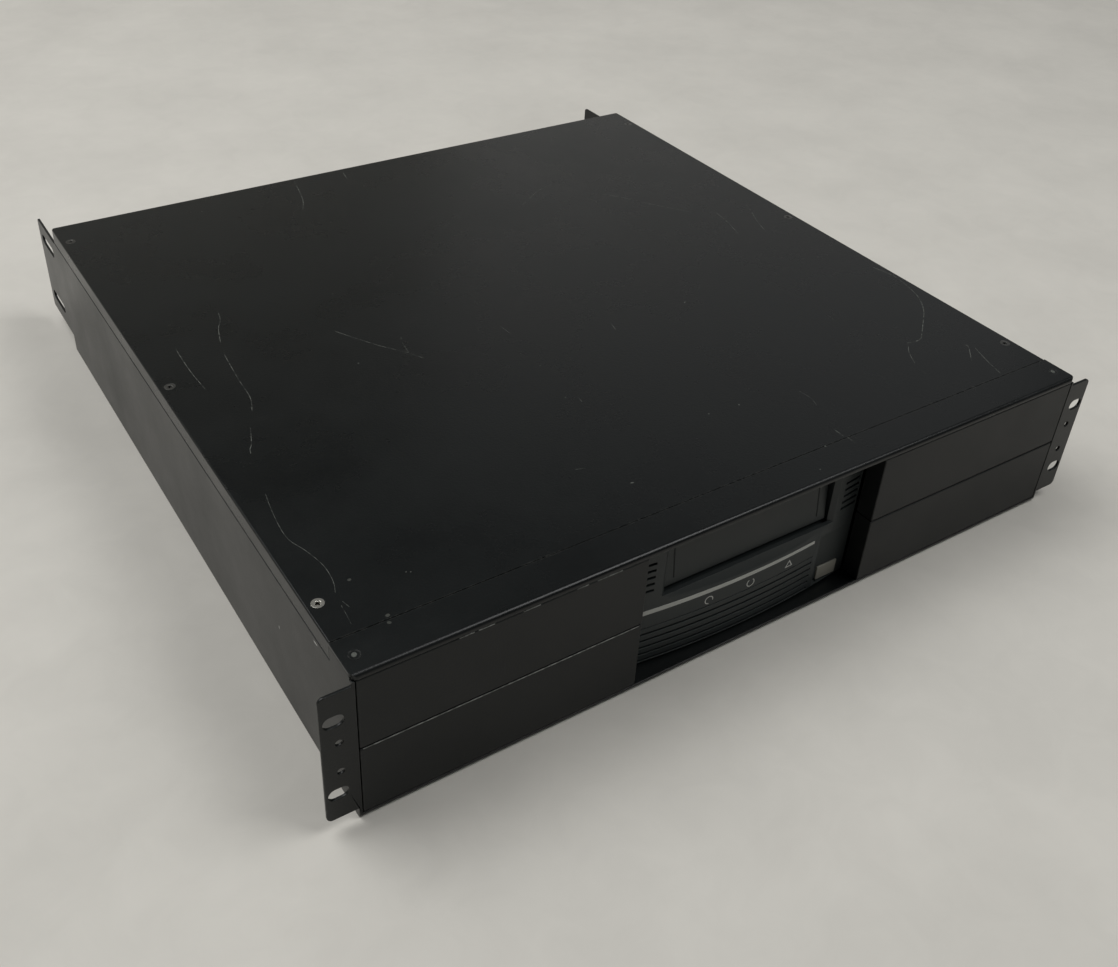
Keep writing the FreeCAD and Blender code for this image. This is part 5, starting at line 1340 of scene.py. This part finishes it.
@dataclass
class RearSide(Assembly):
    """What the rear panel carries: fan, mains inlet, power switch and data connectors."""

    edge: float = 0.3 * MM
    port_edge: float = 0.2 * MM
    fine_edge: float = 0.15 * MM
    fan_head: float = 3.8 * MM
    fan_head_height: float = 1.2 * MM
    fan_shank: float = 2.0 * MM
    blade: Vector = field(default_factory=lambda: Vector((2.2, 9.6, 4.2)) * MM)
    blade_step: float = 7.0 * MM
    blade_rise: float = 2.0 * MM
    blade_tip: float = 0.7 * MM
    blade_tip_steps: int = 3
    well_depth: float = 15.0 * MM
    # The two data connectors, each with its height in pitches from the middle.
    ports: tuple[tuple[str, float], ...] = (("lower", -0.5), ("upper", 0.5))
    port_pitch: float = 28.0 * MM
    port_plate: float = 1.2 * MM
    contact: Vector = field(default_factory=lambda: Vector((0.8, 2.4, 0.6)) * MM)
    contact_pitch: float = 1.84 * MM
    contacts: int = 25
    contact_rise: float = 1.6 * MM
    contact_tip: float = 0.3 * MM
    port_well: float = 3.4 * MM
    jack_sides: int = 6
    jack_radius: float = 2.5 * MM
    jack_length: float = 4.0 * MM
    jack_inset: float = 3.0 * MM
    jack_wall: float = 1.1 * MM
    jack_depth: float = 2.4 * MM
    rocker_dish: float = 1.9 * MM
    rocker_half: float = 7.3 * MM
    sign_reach: float = 3.46 * MM
    sign_rise: float = 3.65 * MM
    ring_radius: float = 1.4 * MM
    ring_line: float = 0.45 * MM
    bar_length: float = 2.6 * MM

    def build(self) -> None:
        """Refine the CAD pieces and add the metal in them."""
        self.refine(self.edge, "fan_frame", "fan_guard", "mains_inlet", "switch_frame",
                    "power_rocker")
        self.refine(self.fine_edge, "fan_rotor")
        self.refine(self.port_edge, "data_ports")
        self.fan_screws()
        self.inlet_blades()
        self.port_contacts()
        self.jack_screws()
        self.rocker_signs()

    def fan_screws(self) -> None:
        """Four pan-head screws at the fan's corners."""
        low, high = corners_of("fan_screws")
        length = high.y - low.y - self.fan_head_height
        shape = CrossScrew(self.fan_head, self.fan_head_height, self.fan_shank, length, False)
        model = shape.model("fan_screw_model")
        for side, x in (("left", low.x + self.fan_head), ("right", high.x - self.fan_head)):
            for level, z in (("low", low.z + self.fan_head), ("high", high.z - self.fan_head)):
                screw = copy_of(model, f"fan_screw_{level}_{side}")
                move(screw, (-QUARTER, 0.0, 0.0), Vector((x, high.y, z)))
                self.settle(screw, Look.SCREW_STEEL, "fan_screws")
        bpy.data.objects.remove(model)

    def inlet_blades(self) -> None:
        """Three flat pins with rounded tips in the inlet's well."""
        low, high = corners_of("mains_inlet")
        middle = (low + high) / 2
        root_y = high.y - self.well_depth + self.blade.y / 2
        tip = root_y + self.blade.y / 2 - self.edge
        for name, step, rise in (("left", -1, -1), ("earth", 0, 1), ("right", 1, -1)):
            root = Vector((middle.x + step * self.blade_step, root_y,
                           middle.z + rise * self.blade_rise))
            pin = block(f"inlet_blade_{name}", root - self.blade / 2, root + self.blade / 2)
            with picked(pin, Pick.EDGES, lambda first, last: min(first.y, last.y) > tip):
                bpy.ops.mesh.bevel(offset=self.blade_tip, segments=self.blade_tip_steps)
            break_edges(pin, self.fine_edge)
            self.settle(pin, Detail.NICKEL)

    def port_contacts(self) -> None:
        """Two rows of contacts in each data connector."""
        low, high = corners_of("data_ports")
        middle = (low + high) / 2
        width = (self.contacts - 1) * self.contact_pitch
        for port, up in self.ports:
            for row, rise in (("under", -1), ("over", 1)):
                root = Vector((middle.x - width / 2, high.y - self.port_well + self.contact.y / 2,
                               middle.z + up * self.port_pitch + rise * self.contact_rise))
                pins = block(f"contacts_{port}_{row}", root - self.contact / 2,
                             root + self.contact / 2)
                with picked(pins, Pick.FACES, lambda centre, normal: normal.y > SQUARE):
                    bpy.ops.mesh.inset(thickness=self.fine_edge)
                    bpy.ops.transform.translate(value=(0.0, self.contact_tip, 0.0))
                apply(pins, "ARRAY", count=self.contacts, use_relative_offset=False,
                      use_constant_offset=True,
                      constant_offset_displace=(self.contact_pitch, 0.0, 0.0))
                self.settle(pins, Detail.GILT)

    def jack_screws(self) -> None:
        """Hexagonal jack screws at the ends of each data connector."""
        low, high = corners_of("data_ports")
        plate = corners_of("rear_panel")[1].y + self.port_plate
        middle = (low + high) / 2
        for side, x in (("left", low.x + self.jack_inset), ("right", high.x - self.jack_inset)):
            for port, up in self.ports:
                place = (x, plate + self.jack_length / 2, middle.z + up * self.port_pitch)
                jack = start(f"jack_screw_{port}_{side}", bpy.ops.mesh.primitive_cylinder_add,
                             vertices=self.jack_sides, radius=self.jack_radius,
                             depth=self.jack_length, location=place, rotation=(QUARTER, 0.0, 0.0))
                with picked(jack, Pick.FACES, lambda centre, normal: normal.y > SQUARE):
                    bpy.ops.mesh.inset(thickness=self.jack_wall)
                    extrude((0.0, -self.jack_depth, 0.0))
                break_edges(jack, self.port_edge)
                self.settle(jack, Detail.NICKEL)

    def rocker_signs(self) -> None:
        """A bar and a ring, for on and off, on the two dished halves of the rocker."""
        joint = next(entry for entry in self.frame["joints"] if entry["name"] == "rocker_tip")
        axle = Vector(joint["pos_m"])
        tilt = math.radians(-joint["range_deg"][0] / 2)
        slope = math.atan2(self.rocker_dish, self.rocker_half)
        bar = start("rocker_sign_on", bpy.ops.mesh.primitive_plane_add, size=self.bar_length)
        with picked(bar, Pick.FACES, lambda centre, normal: True):
            bpy.ops.transform.resize(value=(self.ring_line / self.bar_length, 1.0, 1.0))
        ring = outline("rocker_sign_off", RING_SIDES, self.ring_radius, self.ring_line)
        for sign, up in ((bar, 1), (ring, -1)):
            reach = Vector((0.0, self.sign_reach, up * self.sign_rise))
            place = axle + Matrix.Rotation(tilt, 3, "X") @ reach
            self.imprint(sign, (tilt + up * slope - QUARTER, 0.0, 0.0), place, "power_rocker")


def dress_nodes(frame: Frame, palette: Palette) -> None:
    """Give every CAD node the finish of its slot.

    Args:
        palette: the materials.
    """
    finishes = {look.slot: look.value for look in Look}
    for entry in frame["record"]["subparts"]:
        node = frame["nodes"][entry["node"]]
        node.data.materials.clear()
        node.data.materials.append(palette.of(finishes[entry["material_slot"]]))


def main() -> None:
    """Build the scene."""
    logging.basicConfig(level=logging.INFO, format="%(message)s")
    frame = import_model()
    palette = Palette()
    studio = Studio(palette)
    studio.build()
    dress_nodes(frame, palette)
    for assembly in (
        Enclosure(frame, palette),
        LidFixings(frame, palette),
        CoatMarks(frame, palette, studio),
        DriveFront(frame, palette),
        RearSide(frame, palette),
    ):
        log.info("building the %s", type(assembly).__name__)
        assembly.build()


if __name__ == "__main__":
    main()
